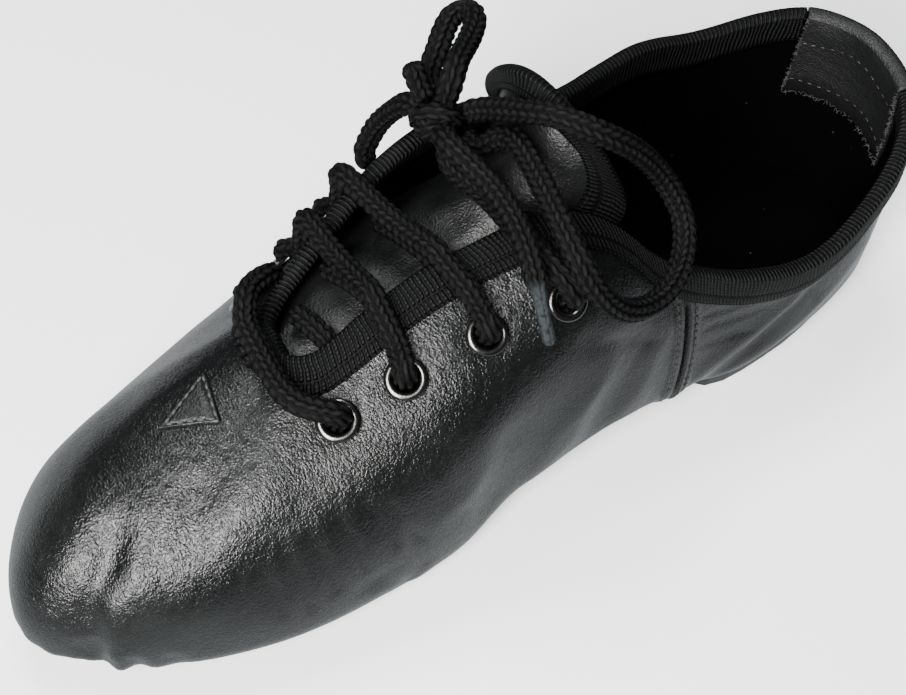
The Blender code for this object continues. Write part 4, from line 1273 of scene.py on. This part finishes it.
@dataclass
class Lace:
    """The lace: bars through the eyelets, runs under them, and the bow."""

    inner: list[Eyelet]
    outer: list[Eyelet]
    bar_clear: float = 0.5 * MM
    bar_sink: float = 0.6 * MM
    far_sink: float = 2.2 * MM
    bar_dip: float = 1.2 * MM
    lead_mm: float = 4.5
    flange: float = 1.4 * MM
    dipped_mm: float = 15.0

    def leg(self, eyelet: Eyelet, drawn: float = 0.0) -> list[Array]:
        """From inside an eyelet over the wall and its tape to the throat.

        Args:
            eyelet: where it starts.
            drawn: how far the tight lace is drawn down into the soft wall.

        Returns:
            The places along it.
        """
        radius = SIZES.lace / 2
        start = self.flange + SIZES.gap + self.bar_clear - drawn
        above = SIZES.gap * 2 + SIZES.tape + radius - self.bar_sink
        leg = [eyelet.centre - eyelet.normal * 3.0 * MM - eyelet.up * 0.2 * MM,
               eyelet.centre + eyelet.normal * 0.6 * MM + eyelet.up * 0.3 * MM,
               eyelet.centre + eyelet.normal * (start + radius * 0.8) + eyelet.up * 1.1 * MM]
        depths = np.array([eyelet.depth - 1.0 * SIZES.lace, eyelet.depth / 2 - radius / 2, 0.0])
        points, normals, ups = LAST.wall(np.array([eyelet.row]), depths)
        leg += [points[0, k] + normals[0, k] * (above - drawn * (1.0, 0.9, 0.2)[k])
                for k in range(3)]
        leg.append(points[0, 2] + normals[0, 2] * (above - self.bar_dip / 2)
                   + ups[0, 2] * 0.8 * SIZES.lace)
        return leg

    def knot_lead(self, direction: Sequence[float]) -> list[Array]:
        """Two places where a cord leaves the knot."""
        way = unit(np.array(direction))
        reach = 1 / np.linalg.norm(way / np.array(KNOT_HALF_MM)) * MM
        middle = np.array(KNOT_MM) * MM
        return [middle + way * (reach - 0.6 * MM), middle + way * (reach + self.lead_mm * MM)]

    def bars(self) -> None:
        """The crossings over the throat and the runs under them."""
        radius = SIZES.lace / 2
        for number in (1, 2, 3):
            near = self.leg(self.inner[number - 1])
            far = self.leg(self.outer[number - 1], self.far_sink)
            middle = [(near[-1] + far[-1]) / 2 - np.array([0, 0, self.bar_dip])]
            if number == 1:
                # the first bar swings round the toe end of the throat
                near, middle, far = near[:3], [np.array(p) * MM for p in FIRST_BAR_MM], far[:-1]
            piece = rope(f"bar_{number}", np.array(near + middle + far[::-1]), radius,
                         seed=number)
            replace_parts(dress(piece, Finish.BRAID), f"lace_bar_{number}")
            start, end = np.array(UNDER_RUNS[number - 1])
            share = np.linspace(0, 1, 5)[:, None]
            place = start + (end - start) * share
            points = (TONGUE_FORM.point(place[:, 0], place[:, 1])
                      + TONGUE_FORM.normal(place[:, 0], place[:, 1]) * (radius + 0.4 * MM))
            piece = rope(f"under_{number}", points, radius, seed=number + 4)
            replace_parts(dress(piece, Finish.BRAID), f"lace_under_{number}")

    def bow(self) -> None:
        """The strands, loops and ends, each made as a cord."""
        for order, (name, start, end, between) in enumerate(BOW):
            route = [np.array(p) * MM for p in between]
            if start:
                route = self.knot_lead(start) + route
            if end:
                route = route + self.knot_lead(end)[::-1]
            path = evenly(np.array(route), 2.0 * MM)
            swell = self.thin_end if name == "lace_end_long" else None
            piece = rope(name.replace("lace_", "bow_"), path, SIZES.lace / 2, swell,
                         self.dipped_mm if name == "lace_end_long" else 0.0, order + 11)
            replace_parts(dress(piece, Finish.BRAID), name)

    @staticmethod
    def thin_end(along: Array, whole: float) -> Array:
        """Share of the radius left towards the glued tip."""
        return 1 - 0.34 * smooth(along, whole - 16, whole - 9)

    def knot(self) -> None:
        """The knot: three turns of lace round its middle, and the short end."""
        centre = np.array(KNOT_MM) * MM
        turns = (((0.55, 0.10, 0.83), (0.65, -0.70, -0.25), 4.0, 4.1, -2.7, 2.7),
                 ((-0.30, 0.75, 0.58), (0.90, 0.40, 0.10), 3.4, 3.6, -2.6, 2.4),
                 ((0.10, -0.80, 0.59), (0.95, 0.30, 0.20), 3.2, 3.2, -2.6, 2.6))
        parts = []
        for number, (first, second, wide, high, low, top) in enumerate(turns):
            first = unit(np.array(first))
            second = unit(np.array(second) - first * np.dot(first, second))
            angle = np.linspace(low, top, 14)[:, None]
            path = centre + (first * np.cos(angle) * wide + second * np.sin(angle) * high) * MM
            parts.append(rope(f"knot_turn_{number}", path, SIZES.lace * 0.47,
                              seed=number + 21))
        parts.append(rope("knot_stub", np.array(STUB_MM) * MM, SIZES.lace / 2, seed=31))
        piece = joined("bow_knot", parts)
        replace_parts(dress(piece, Finish.BRAID), "lace_knot", "lace_end_short")

    def build(self) -> None:
        """Make every length of the lace."""
        self.bow()
        self.knot()
        self.bars()


# ---------------------------------------------------------------- the upper


@dataclass(frozen=True)
class Crease:
    """A soft trough or ridge between two places, seen in plan or from a side.

    start and end are shares of the length and of the ball width (in plan, from the middle) or of
    the instep height (from a side). A height below nought is a trough.
    """

    side: Side
    start: tuple[float, float]
    end: tuple[float, float]
    width_mm: float
    height_mm: float


CREASES = (
    # the toe: a fold into the tip, the swelling beside it and the pleats below
    Crease(Side.TOP, (0.900, 0.150), (0.958, 0.262), 3.2, -1.1),
    Crease(Side.TOP, (0.900, 0.270), (0.945, 0.280), 5.0, 0.9),
    Crease(Side.TOP, (0.900, 0.040), (0.965, 0.120), 5.0, 0.5),
    Crease(Side.TOP, (0.835, 0.160), (0.862, 0.320), 3.6, -0.45),
    Crease(Side.TOP, (0.780, 0.140), (0.800, 0.330), 6.0, 0.35),
    Crease(Side.TOP, (0.770, -0.040), (0.840, -0.200), 8.0, -0.5),
    Crease(Side.INNER, (0.956, 0.250), (0.948, 0.060), 2.0, -1.1),
    Crease(Side.INNER, (0.946, 0.220), (0.936, 0.040), 2.4, 0.9),
    Crease(Side.INNER, (0.936, 0.200), (0.922, 0.040), 1.9, -0.8),
    Crease(Side.INNER, (0.968, 0.240), (0.964, 0.080), 1.8, -0.6),
    Crease(Side.INNER, (0.905, 0.180), (0.890, 0.040), 2.2, -0.5),
    # fine folds over the ball
    Crease(Side.INNER, (0.820, 0.470), (0.812, 0.260), 1.7, -0.55),
    Crease(Side.INNER, (0.798, 0.500), (0.788, 0.240), 1.6, -0.60),
    Crease(Side.INNER, (0.776, 0.520), (0.764, 0.280), 1.8, -0.60),
    Crease(Side.INNER, (0.750, 0.550), (0.734, 0.300), 1.7, -0.65),
    Crease(Side.INNER, (0.728, 0.580), (0.704, 0.360), 1.8, -0.60),
    Crease(Side.INNER, (0.708, 0.560), (0.680, 0.320), 1.8, -0.55),
    Crease(Side.INNER, (0.690, 0.400), (0.672, 0.160), 2.2, -0.50),
    Crease(Side.INNER, (0.735, 0.260), (0.690, 0.110), 2.6, -0.55),
    Crease(Side.INNER, (0.720, 0.210), (0.668, 0.060), 3.0, 0.50),
    # the inner side: long soft folds from the eyelets down to the waist
    Crease(Side.INNER, (0.660, 0.600), (0.640, 0.380), 4.0, 0.45),
    Crease(Side.INNER, (0.575, 0.550), (0.600, 0.220), 6.0, -0.9),
    Crease(Side.INNER, (0.470, 0.580), (0.540, 0.180), 6.5, 1.2),
    Crease(Side.INNER, (0.430, 0.620), (0.462, 0.300), 4.5, -0.9),
    Crease(Side.INNER, (0.400, 0.620), (0.424, 0.240), 4.5, 0.7),
    Crease(Side.INNER, (0.500, 0.760), (0.440, 0.640), 3.0, -0.5),
    Crease(Side.INNER, (0.470, 0.700), (0.405, 0.560), 2.2, -0.35),
    # behind the side seam
    Crease(Side.INNER, (0.330, 0.220), (0.130, 0.620), 4.0, 1.1),
    Crease(Side.INNER, (0.330, 0.130), (0.120, 0.480), 3.5, -1.0),
    Crease(Side.INNER, (0.300, 0.090), (0.100, 0.340), 4.0, 0.8),
    Crease(Side.INNER, (0.345, 0.480), (0.270, 0.450), 1.5, -0.45),
    Crease(Side.INNER, (0.348, 0.550), (0.290, 0.520), 1.3, -0.40),
    Crease(Side.INNER, (0.345, 0.400), (0.280, 0.360), 1.5, -0.40),
    Crease(Side.INNER, (0.230, 0.500), (0.180, 0.300), 2.4, -0.45),
    # the outer side
    Crease(Side.OUTER, (0.580, 0.600), (0.620, 0.150), 6.0, -0.9),
    Crease(Side.OUTER, (0.500, 0.620), (0.520, 0.150), 6.0, 0.8),
    Crease(Side.OUTER, (0.450, 0.600), (0.460, 0.150), 5.0, -0.8),
    Crease(Side.OUTER, (0.300, 0.200), (0.120, 0.500), 4.5, 0.8),
    Crease(Side.OUTER, (0.300, 0.120), (0.120, 0.360), 4.0, -0.7),
)


@dataclass
class Upper:
    """The leather upper: one lasted shell with its lining, seams and creases."""

    inner: list[Eyelet]
    outer: list[Eyelet]
    creases: tuple[Crease, ...] = CREASES
    seam_groove_mm: float = 1.5
    seam_lip_mm: float = 0.45
    seam_raise_mm: float = 0.45
    seam_stitch_mm: float = 2.9
    stitch_pitch_mm: float = 2.5
    rows_round: int = 560
    rows_at_seam: int = 60
    steps_low: int = 14
    steps_high: int = 62
    steps_under: int = 6
    patch_corners: tuple = ((0.840, 0.004), (0.781, -0.071), (0.794, 0.084), (0.840, 0.004))
    patch_grid: int = 41
    patch_lift_mm: float = 0.95
    patch_inset: float = 0.80
    patch_stitch_mm: float = 2.2

    def rows(self) -> Array:
        """Row numbers of the shell's columns, close together at the side seams."""
        base = np.linspace(0, LAST.count, self.rows_round, endpoint=False)
        close = [np.linspace(seam - 0.5, seam + 0.5, self.rows_at_seam)
                 for seam in LAST.seam_rows()]
        rows = np.unique(np.round(np.concatenate([base, *close]), 5))
        return rows[np.concatenate([[True], np.diff(rows) > 0.004])]

    def relief(self, rows: Array, points: Array, depth: Array, length: Array) -> Array:
        """Height of the leather over the plain last, in metres.

        Args:
            rows: row number of each column.
            points: places of the plain face, (n, m, 3).
            depth: length below the top edge, (n, m).
            length: length round the shoe of each column.

        Returns:
            The height at each place.
        """
        z = SIZES
        x = points[..., 0] / z.length + z.heel_rest
        y = (points[..., 1] - LAST.centre(points[..., 0])) / z.ball_width
        up = points[..., 2] / z.instep_height
        height = 0.16 * MM * noise(points, 46 * MM, 3, 3)
        for crease in self.creases:
            across = y if crease.side is Side.TOP else up
            unit_y = z.ball_width if crease.side is Side.TOP else z.instep_height
            a = np.array([crease.start[0] * z.length, crease.start[1] * unit_y])
            b = np.array([crease.end[0] * z.length, crease.end[1] * unit_y])
            here = np.stack([x * z.length, across * unit_y], -1)
            run = b - a
            share = ((here - a) @ run) / (run @ run)
            sway = 0.22 * crease.width_mm * MM * np.sin(share * 7 + crease.width_mm)
            away = np.linalg.norm(here - (a + np.clip(share, 0, 1)[..., None] * run), axis=-1)
            ends = smooth(share, -0.25, 0.2) * (1 - smooth(share, 0.8, 1.25))
            mask = {Side.TOP: smooth(up, 0.08, 0.22), Side.INNER: smooth(y, 0.05, 0.2),
                    Side.OUTER: smooth(-y, 0.05, 0.2)}[crease.side]
            height += crease.height_mm * MM * hump(away + sway, crease.width_mm * MM) * ends * mask
        fade = smooth(depth, z.tape_width - 2 * MM, z.tape_width + 6 * MM)
        for seam in LAST.seam_rows():
            here = np.interp(seam, rows, length)
            away = (length - here)[:, None] / MM * np.ones_like(depth)
            holes = 0.55 + 0.45 * np.cos(depth / MM * 2 * math.pi / self.stitch_pitch_mm)
            height += MM * (self.seam_raise_mm * (1 - smooth(np.abs(away), 3.3, 4.8))
                            - self.seam_groove_mm * hump(away, 0.50)
                            + self.seam_lip_mm * hump(away - 0.95, 0.38)
                            - 0.42 * holes * hump(np.abs(away) - self.seam_stitch_mm, 0.55)) \
                * smooth(depth, 4 * MM, z.tape_width)
        height += self.toe_gathers(x, up, length)
        height = height * (0.25 + 0.75 * fade)
        for eyelet in self.inner + self.outer:
            away = np.linalg.norm(points - eyelet.centre, axis=-1) / MM
            height += MM * (-3.4 * (1 - smooth(away, 2.0, 2.9)) - 0.25 * hump(away - 4.2, 1.6))
        return height

    def toe_gathers(self, x: Array, up: Array, length: Array) -> Array:
        """Small pleats where the leather is drawn under the toe."""
        wave = np.sin(length / MM * 2 * math.pi / 6.4 + 1.5 * np.sin(length / MM / 9))[:, None]
        where = smooth(x, 0.86, 0.95) * (1 - smooth(up, 0.06, 0.24))
        return 0.22 * MM * wave * where

    def wrinkle(self, points: Array, depth: Array) -> Array:
        """How strongly the leather's surface is drawn into fine wrinkles."""
        z = SIZES
        x = points[..., 0] / z.length + z.heel_rest
        y = points[..., 1] / z.ball_width
        up = points[..., 2] / z.instep_height
        ball = smooth(x, 0.52, 0.62) * (1 - smooth(x, 0.80, 0.92)) * smooth(y, 0.05, 0.3)
        patch = 0.5 + 0.5 * noise(points, 26 * MM, 8)
        near = 1 - smooth(depth, 12 * MM, 30 * MM)
        return np.clip(0.50 + 0.60 * ball * patch + 0.3 * near * patch
                       + 0.25 * smooth(up, 0.0, 0.3) * patch * smooth(-x, -0.45, -0.30), 0, 1)

    def build(self) -> None:
        """Make the shell and sew its seams."""
        z = SIZES
        rows = self.rows()
        skin = LAST.skin(rows, self.steps_low, self.steps_high)
        margin = LAST.margin(rows)
        share = np.linspace(0, 1, self.steps_under, endpoint=False)[None, :, None]
        under = margin[:, None] + (skin[:, :1] - margin[:, None]) * share
        points = np.concatenate([under, skin], 1)
        closed = np.concatenate([points, points[:1]], 0)
        run = np.gradient(np.concatenate([closed[-3:-1], closed, closed[1:3]], 0), axis=0)[2:-2]
        climb = np.gradient(closed, axis=1)
        normal = unit(np.cross(run, climb))
        normal[:, :self.steps_under - 1] = (0, 0, -1)
        line = np.concatenate([LAST.outline(rows), LAST.outline(rows[:1])], 0)
        length = travel(line)
        steps = np.linalg.norm(np.diff(closed[:, ::-1], axis=1), axis=2)
        depth = np.concatenate([np.zeros((len(closed), 1)), np.cumsum(steps, axis=1)], 1)[:, ::-1]
        numbers = np.concatenate([rows, [LAST.count]])
        height = self.relief(numbers, closed, depth, length)
        height[:, :self.steps_under] = 0
        height[-1] = height[0]
        outside = closed + normal * height[..., None]
        inner_height = np.minimum(height, 0) + np.maximum(height, 0) * 0.4
        inside = (closed + normal * (inner_height - z.wall)[..., None])[:, ::-1][:, ::2]
        grid = np.concatenate([outside, inside, outside[:, :1]], 1)
        v = np.concatenate([depth, depth[:, ::-1][:, ::2], depth[:, :1]], 1) / MM
        u = np.repeat(length[:, None] / MM, grid.shape[1], 1)
        wrinkle = self.wrinkle(closed, depth)
        marks = np.concatenate([wrinkle, 0 * inside[..., 0], wrinkle[:, :1]], 1)
        piece = sheet("leather_upper", grid, np.stack([u, v], -1), close=True,
                      marks={"wrinkle": marks}, inside_from=outside.shape[1] - 1)
        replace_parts(dress(piece, Finish.UPPER, Finish.LINING), "upper")
        self.sew(outside, normal, depth, length, numbers)

    def sew(self, outside: Array, normal: Array, depth: Array, length: Array,
            rows: Array) -> None:
        """Stitches beside the side seams, and then the small triangle on the vamp."""
        thread = Thread()
        places, runs, normals = [], [], []
        for seam in LAST.seam_rows():
            here = np.interp(seam, rows, length)
            for side in (-1, 1):
                column = int(np.argmin(np.abs(length - here - side * self.seam_stitch_mm * MM)))
                marks = np.arange(SIZES.tape_width / MM + 1.0, 60, self.stitch_pitch_mm) * MM
                order = np.argsort(depth[column])
                line = np.stack([np.interp(marks, depth[column][order],
                                           outside[column][order][:, k]) for k in range(3)], 1)
                out = np.stack([np.interp(marks, depth[column][order],
                                          normal[column][order][:, k]) for k in range(3)], 1)
                keep = (line[:, 2] > 9 * MM) & (marks < depth[column].max() - 14 * MM)
                places.append((line + unit(out) * 0.02 * MM)[keep])
                runs.append(np.gradient(line, axis=0)[keep])
                normals.append(out[keep])
        thread.sew("seam_stitches", np.concatenate(places), np.concatenate(runs),
                   np.concatenate(normals))
        thread.away()
        self.triangle(outside, normal)

    def triangle(self, outside: Array, normal: Array) -> None:
        """A small sewn triangle in front of the throat."""
        flat_points, flat_normals = outside.reshape(-1, 3), normal.reshape(-1, 3)
        corners = np.array(self.patch_corners)
        scale = np.array([SIZES.length, SIZES.ball_width])
        corners = corners * scale - np.array([SIZES.back, 0])
        upper_face = flat_points[:, 2] > 15 * MM
        flat_points, flat_normals = flat_points[upper_face], flat_normals[upper_face]

        def lay(spots: Array) -> tuple[Array, Array]:
            """Places on the leather above plan positions, and its normals there."""
            places, normals = [], []
            for spot in spots:
                away = np.linalg.norm(flat_points[:, :2] - spot, axis=1)
                near = np.argsort(away)[:10]
                weight = (1 / (away[near] + 0.3 * MM) ** 2)[:, None]
                out = unit((flat_normals[near] * weight).sum(0))
                point = (flat_points[near] * weight).sum(0) / weight.sum()
                drop = np.dot(point[:2] - spot, out[:2]) / out[2]
                places.append(np.array([spot[0], spot[1], point[2] + drop]))
                normals.append(out)
            return np.array(places), np.array(normals)

        # the patch: rows from the apex to the far side, a little raised with a sharp edge
        count = self.patch_grid
        t, w = np.meshgrid(np.linspace(0, 1, count), np.linspace(0, 1, count), indexing="ij")
        spots = (corners[0] + t[..., None] * ((1 - w[..., None]) * (corners[1] - corners[0])
                                              + w[..., None] * (corners[2] - corners[0])))
        places, normals = lay(spots.reshape(-1, 2))
        edge = np.minimum(np.minimum(t * w, t * (1 - w)) * 2, 1 - t)
        lift = (self.patch_lift_mm * MM * smooth(edge, 0.0, 0.05)
                - 0.25 * MM * hump(edge - 0.14, 0.05) - 0.2 * MM)
        points = (places + normals * lift.reshape(-1, 1)).reshape(count, count, 3)
        side = np.cross(points[-1, 0] - points[0, 0], points[-1, -1] - points[-1, 0])
        patch = sheet("vamp_patch", points, np.stack([t, w], -1) * 12, side[2] > 0)
        dress(patch, Finish.TONGUE)
        middle = corners[:3].mean(axis=0)
        inset = middle + (corners - middle) * self.patch_inset
        rows = []
        for a, b in zip(inset[:-1], inset[1:]):
            count = int(round(np.linalg.norm(b - a) / (self.patch_stitch_mm * MM)))
            marks = (np.arange(count) + 0.5)[:, None]
            spots = a + (b - a) * marks / len(marks)
            places, normals = lay(spots)
            run = np.array([[*(b - a), 0.0]]) + 0 * places
            run = unit(run - normals * (run * normals).sum(1, keepdims=True))
            rows.append((places + normals * 0.62 * MM, run, normals))
        seams = Thread(1.5, 0.62)
        seams.sew("vamp_stitches", *(np.concatenate(part) for part in zip(*rows)), Finish.FLUFF)
        seams.away()


# ---------------------------------------------------------------- trim and soles


@dataclass
class Trim:
    """The tape round the collar and throat, and the tab over the heel."""

    wave_mm: float = 0.35
    tab_wave_mm: float = 0.5
    tab_thick: float = 1.1 * MM
    tape_rows: int = 620
    tab_rows: int = 60
    side_fibres: int = 90
    low_fibres: int = 70
    tab_stitches: int = 13

    def strip(self, name: str, rows: Array, outside: float, inside: float, gap: float,
              thick: float, wave: float) -> bpy.types.Object:
        """One folded strip along the top edge."""
        out = np.linspace(0, outside, 9)
        back = np.linspace(0, inside, 5)
        frame = LAST.wall(rows, out)
        inner = LAST.wall(rows, back)
        run = travel(frame[0][:, 0]) / MM
        sway = wave * MM * noise(frame[0], 17 * MM, 5, 2)
        puff = (0.25 * MM * np.sin(math.pi * out / outside)[None, :] + 0.25 * sway
                - 0.35 * MM * hump(out - outside * 0.66, 0.5 * MM)[None, :])
        lift = (sway[:, :1] * 0.5)[..., None] * frame[2][:, :1]
        frame = (frame[0] + lift * (1 - out / outside)[None, :, None], frame[1], frame[2])
        return folded(name, frame, inner, SIZES.wall, gap, thick, run, out, back,
                      np.maximum(puff, -0.3 * MM))

    def build(self) -> None:
        """Fold the tape and the tab."""
        start, end = LAST.tab_rows()
        rows = np.linspace(end + 0.04, start - 0.04 + LAST.count, self.tape_rows)
        tape = self.strip("collar_tape", rows, SIZES.tape_width, SIZES.tape_width,
                          SIZES.tape_gap, SIZES.tape, self.wave_mm)
        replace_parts(dress(tape, Finish.TAPE), "collar_binding")
        rows = np.linspace(start, end, self.tab_rows)
        tab = self.strip("heel_tab_leather", rows, SIZES.tab_outside, SIZES.tab_inside,
                         SIZES.tape_gap, self.tab_thick, self.tab_wave_mm)
        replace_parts(dress(tab, Finish.TAB), "heel_tab")
        self.fray(start, end)

    def tab_place(self, rows: Array, depths: Array) -> tuple[Array, Array]:
        """Places and outward directions on the tab; a depth below nought lies inside."""
        z = SIZES
        place, normal, _ = LAST.wall(rows, np.abs(depths))
        pick = np.arange(len(rows))
        place, normal = place[pick, pick], normal[pick, pick]
        inside = (depths < 0)[:, None]
        face = z.tape_gap + self.tab_thick
        reach = np.where(inside, -(z.wall + z.tape_gap + self.tab_thick), face)
        return place + normal * reach, np.where(inside, -normal, normal)

    def fray(self, start: float, end: float) -> None:
        """Cut fibres along the tab's edges and its sewn line."""
        source = np.random.default_rng(7)
        hair = Thread(1.7, 0.12)
        rows, depths = [], []
        for edge, turn in ((start, 1), (end, -1)):
            rows.append(edge + turn * source.uniform(-0.012, 0.02, self.side_fibres))
            depths.append(source.uniform(-SIZES.tab_inside, SIZES.tab_outside,
                                         self.side_fibres))
        rows.append(source.uniform(start, end, self.low_fibres))
        depths.append(np.full(self.low_fibres, -SIZES.tab_inside)
                      + source.uniform(-0.5, 0.5, self.low_fibres) * MM)
        place, out = self.tab_place(np.concatenate(rows), np.concatenate(depths))
        run = unit(source.normal(size=place.shape) + out * 0.8)
        hair.sew("tab_fibres", place + out * 0.2 * MM, run, unit(np.cross(run, run[:, ::-1])),
                 Finish.FLUFF)
        hair.away()
        thread = Thread(1.5, 0.26)
        row = np.linspace(start + 0.10, end - 0.10, self.tab_stitches)
        near = -(8.0 + 0.9 * np.sin(row * 5)) * MM
        low = -(21.5 + 0.7 * np.sin(row * 4)) * MM
        for name, depth in (("tab_stitches", near), ("tab_low_stitches", low)):
            place, out = self.tab_place(row, depth)
            thread.sew(name, place + out * 0.05 * MM, np.gradient(place, axis=0), out)
        thread.away()


@dataclass
class TongueSet:
    """The tongue's leather sheet and the tape round its free edge."""

    rows: int = 90
    columns: int = 49
    tape_start: float = 0.625
    side_rows: int = 90
    top_rows: int = 60

    def relief(self, u: Array, w: Array, points: Array) -> Array:
        """Soft swelling of the tongue between the bars."""
        swell = 0.8 * MM * np.sin(u * 23.0 + 1.2) * hump(w, 0.8) * smooth(u, 0.1, 0.3)
        high = smooth(u, 0.55, 0.72) * (1 - smooth(u, 0.9, 1.0))
        return (swell * (1 - high) * 0.5 + 1.0 * MM * high * hump(np.abs(w) - 0.45, 0.3)
                - 0.8 * MM * high * hump(w, 0.25) + 0.25 * MM * noise(points, 14 * MM, 17))

    def build(self) -> None:
        """Make the sheet and its binding."""
        u = np.linspace(0, 1, self.rows)[:, None] * np.ones((1, self.columns))
        w = np.linspace(-1, 1, self.columns)[None] * TONGUE_FORM.spread(u)
        points, normal = TONGUE_FORM.point(u, w), TONGUE_FORM.normal(u, w)
        height = self.relief(u, w, points)
        edge = np.minimum(1 - np.abs(np.linspace(-1, 1, self.columns))[None], (1 - u) * 1.6)
        height = height * smooth(edge, 0.02, 0.3)
        top = points + normal * height[..., None]
        back = (points + normal * (height - SIZES.tongue_wall)[..., None])[:, ::-1]
        grid = with_ends(np.concatenate([top, back, top[:, :1]], 1))
        uv = np.stack([grid[..., 0] / MM, grid[..., 1] / MM], -1)
        piece = sheet("tongue_leather", grid, uv, close=True)
        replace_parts(dress(piece, Finish.TONGUE), "tongue")
        self.bind()

    def bind(self) -> None:
        """Fold the tape round the free edge."""
        u_side = np.linspace(self.tape_start, 1.0, self.side_rows)
        side = np.stack([u_side, -TONGUE_FORM.spread(u_side)], 1)
        w_top = np.linspace(-1, 1, self.top_rows)[1:-1] * TONGUE_FORM.spread(1.0)
        top = np.stack([np.ones_like(w_top), w_top], 1)
        path = np.concatenate([side, top, side[::-1] * (1, -1)], 0)
        u, w = path[:, 0], path[:, 1]
        middle = TONGUE_FORM.point(np.linspace(TONGUE_FREE, 1, 20), 0.0)
        rise = np.linalg.norm(np.diff(middle, axis=0), axis=1).sum()
        share = np.linspace(0, 1, 20)[None]
        across = TONGUE_FORM.point(u[:, None] + 0 * share, share + 0 * u[:, None])
        spans = np.linalg.norm(np.diff(across, axis=1), axis=2).sum(axis=1)
        out = np.linspace(0, SIZES.tape_width, 7)

        def frame(depths: Array) -> tuple[Array, Array, Array]:
            """Places in from the edge, their normals and the outward direction."""
            part = depths[None] / SIZES.tape_width
            hem_up, hem_in = SIZES.tape_width / rise, (SIZES.tape_width / spans)[:, None]
            low = u[:, None] - part * hem_up * (u[:, None] - TONGUE_FREE)
            near = w[:, None] * (1 - part * hem_in)
            points, normals = TONGUE_FORM.point(low, near), TONGUE_FORM.normal(low, near)
            ups = unit(points[:, :1] - points[:, 1:2])
            return points, normals, np.repeat(ups, len(depths), 1)

        run = travel(frame(out)[0][:, 0]) / MM
        puff = np.repeat((0.25 * MM * np.sin(math.pi * out / SIZES.tape_width))[None],
                         len(path), 0)
        piece = folded("tongue_tape", frame(out), frame(out[::2]), SIZES.tongue_wall,
                       SIZES.tape_gap, SIZES.tape, run, out, out[::2], puff)
        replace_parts(dress(piece, Finish.TAPE), "tongue_binding")


@dataclass
class Metalwork:
    """The eyelets, spun rings with a rolled flange."""

    rings: list[Eyelet]
    # radius and height of the section's places
    section_mm: tuple = ((2.50, -1.6), (3.05, -1.6), (3.05, 0.35), (3.6, 0.45), (4.25, 0.42),
                         (4.60, 0.55), (4.62, 0.85), (4.35, 1.18), (3.90, 1.36), (3.40, 1.34),
                         (2.95, 1.12), (2.66, 0.72), (2.54, 0.2), (2.50, -0.6), (2.50, -1.6))
    faces_round: int = 48

    def build(self) -> None:
        """Spin a ring for each eyelet."""
        profile = np.array(self.section_mm) * MM
        turn = np.linspace(0, 2 * math.pi, self.faces_round + 1)
        for ring in self.rings:
            side = unit(np.cross(ring.normal, (0.3, 1.0, 0.2)))
            front = np.cross(ring.normal, side)
            out = np.cos(turn)[:, None] * side + np.sin(turn)[:, None] * front
            points = (ring.centre + out[:, None] * profile[None, :, :1]
                      + ring.normal * profile[None, :, 1:])
            uv = np.stack(np.meshgrid(turn, np.arange(len(profile)), indexing="ij"), -1)
            piece = sheet(ring.name.replace("eyelet", "ring"), points, uv, close=True)
            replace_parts(dress(piece, Finish.METAL), ring.name)


@dataclass
class Soles:
    """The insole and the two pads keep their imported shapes."""

    nodes: dict

    def build(self) -> None:
        """Give each its finish."""
        for name, finish in (("insole", Finish.LINING), ("forefoot_pad", Finish.SUEDE),
                             ("heel_pad", Finish.RUBBER)):
            node = self.nodes[name]
            node.data.materials.clear()
            node.data.materials.append(PAINTS.get(finish))


def main() -> None:
    """Build the shoe, lace first, and report each piece."""
    logging.basicConfig(level=logging.INFO, format="%(message)s")
    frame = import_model()
    Studio().build()
    inner, outer = eyelets()
    Lace(inner, outer).build()
    Upper(inner, outer).build()
    Trim().build()
    TongueSet().build()
    Metalwork(inner + outer).build()
    Soles(frame["nodes"]).build()
    bpy.context.view_layer.update()


if __name__ == "__main__":
    main()
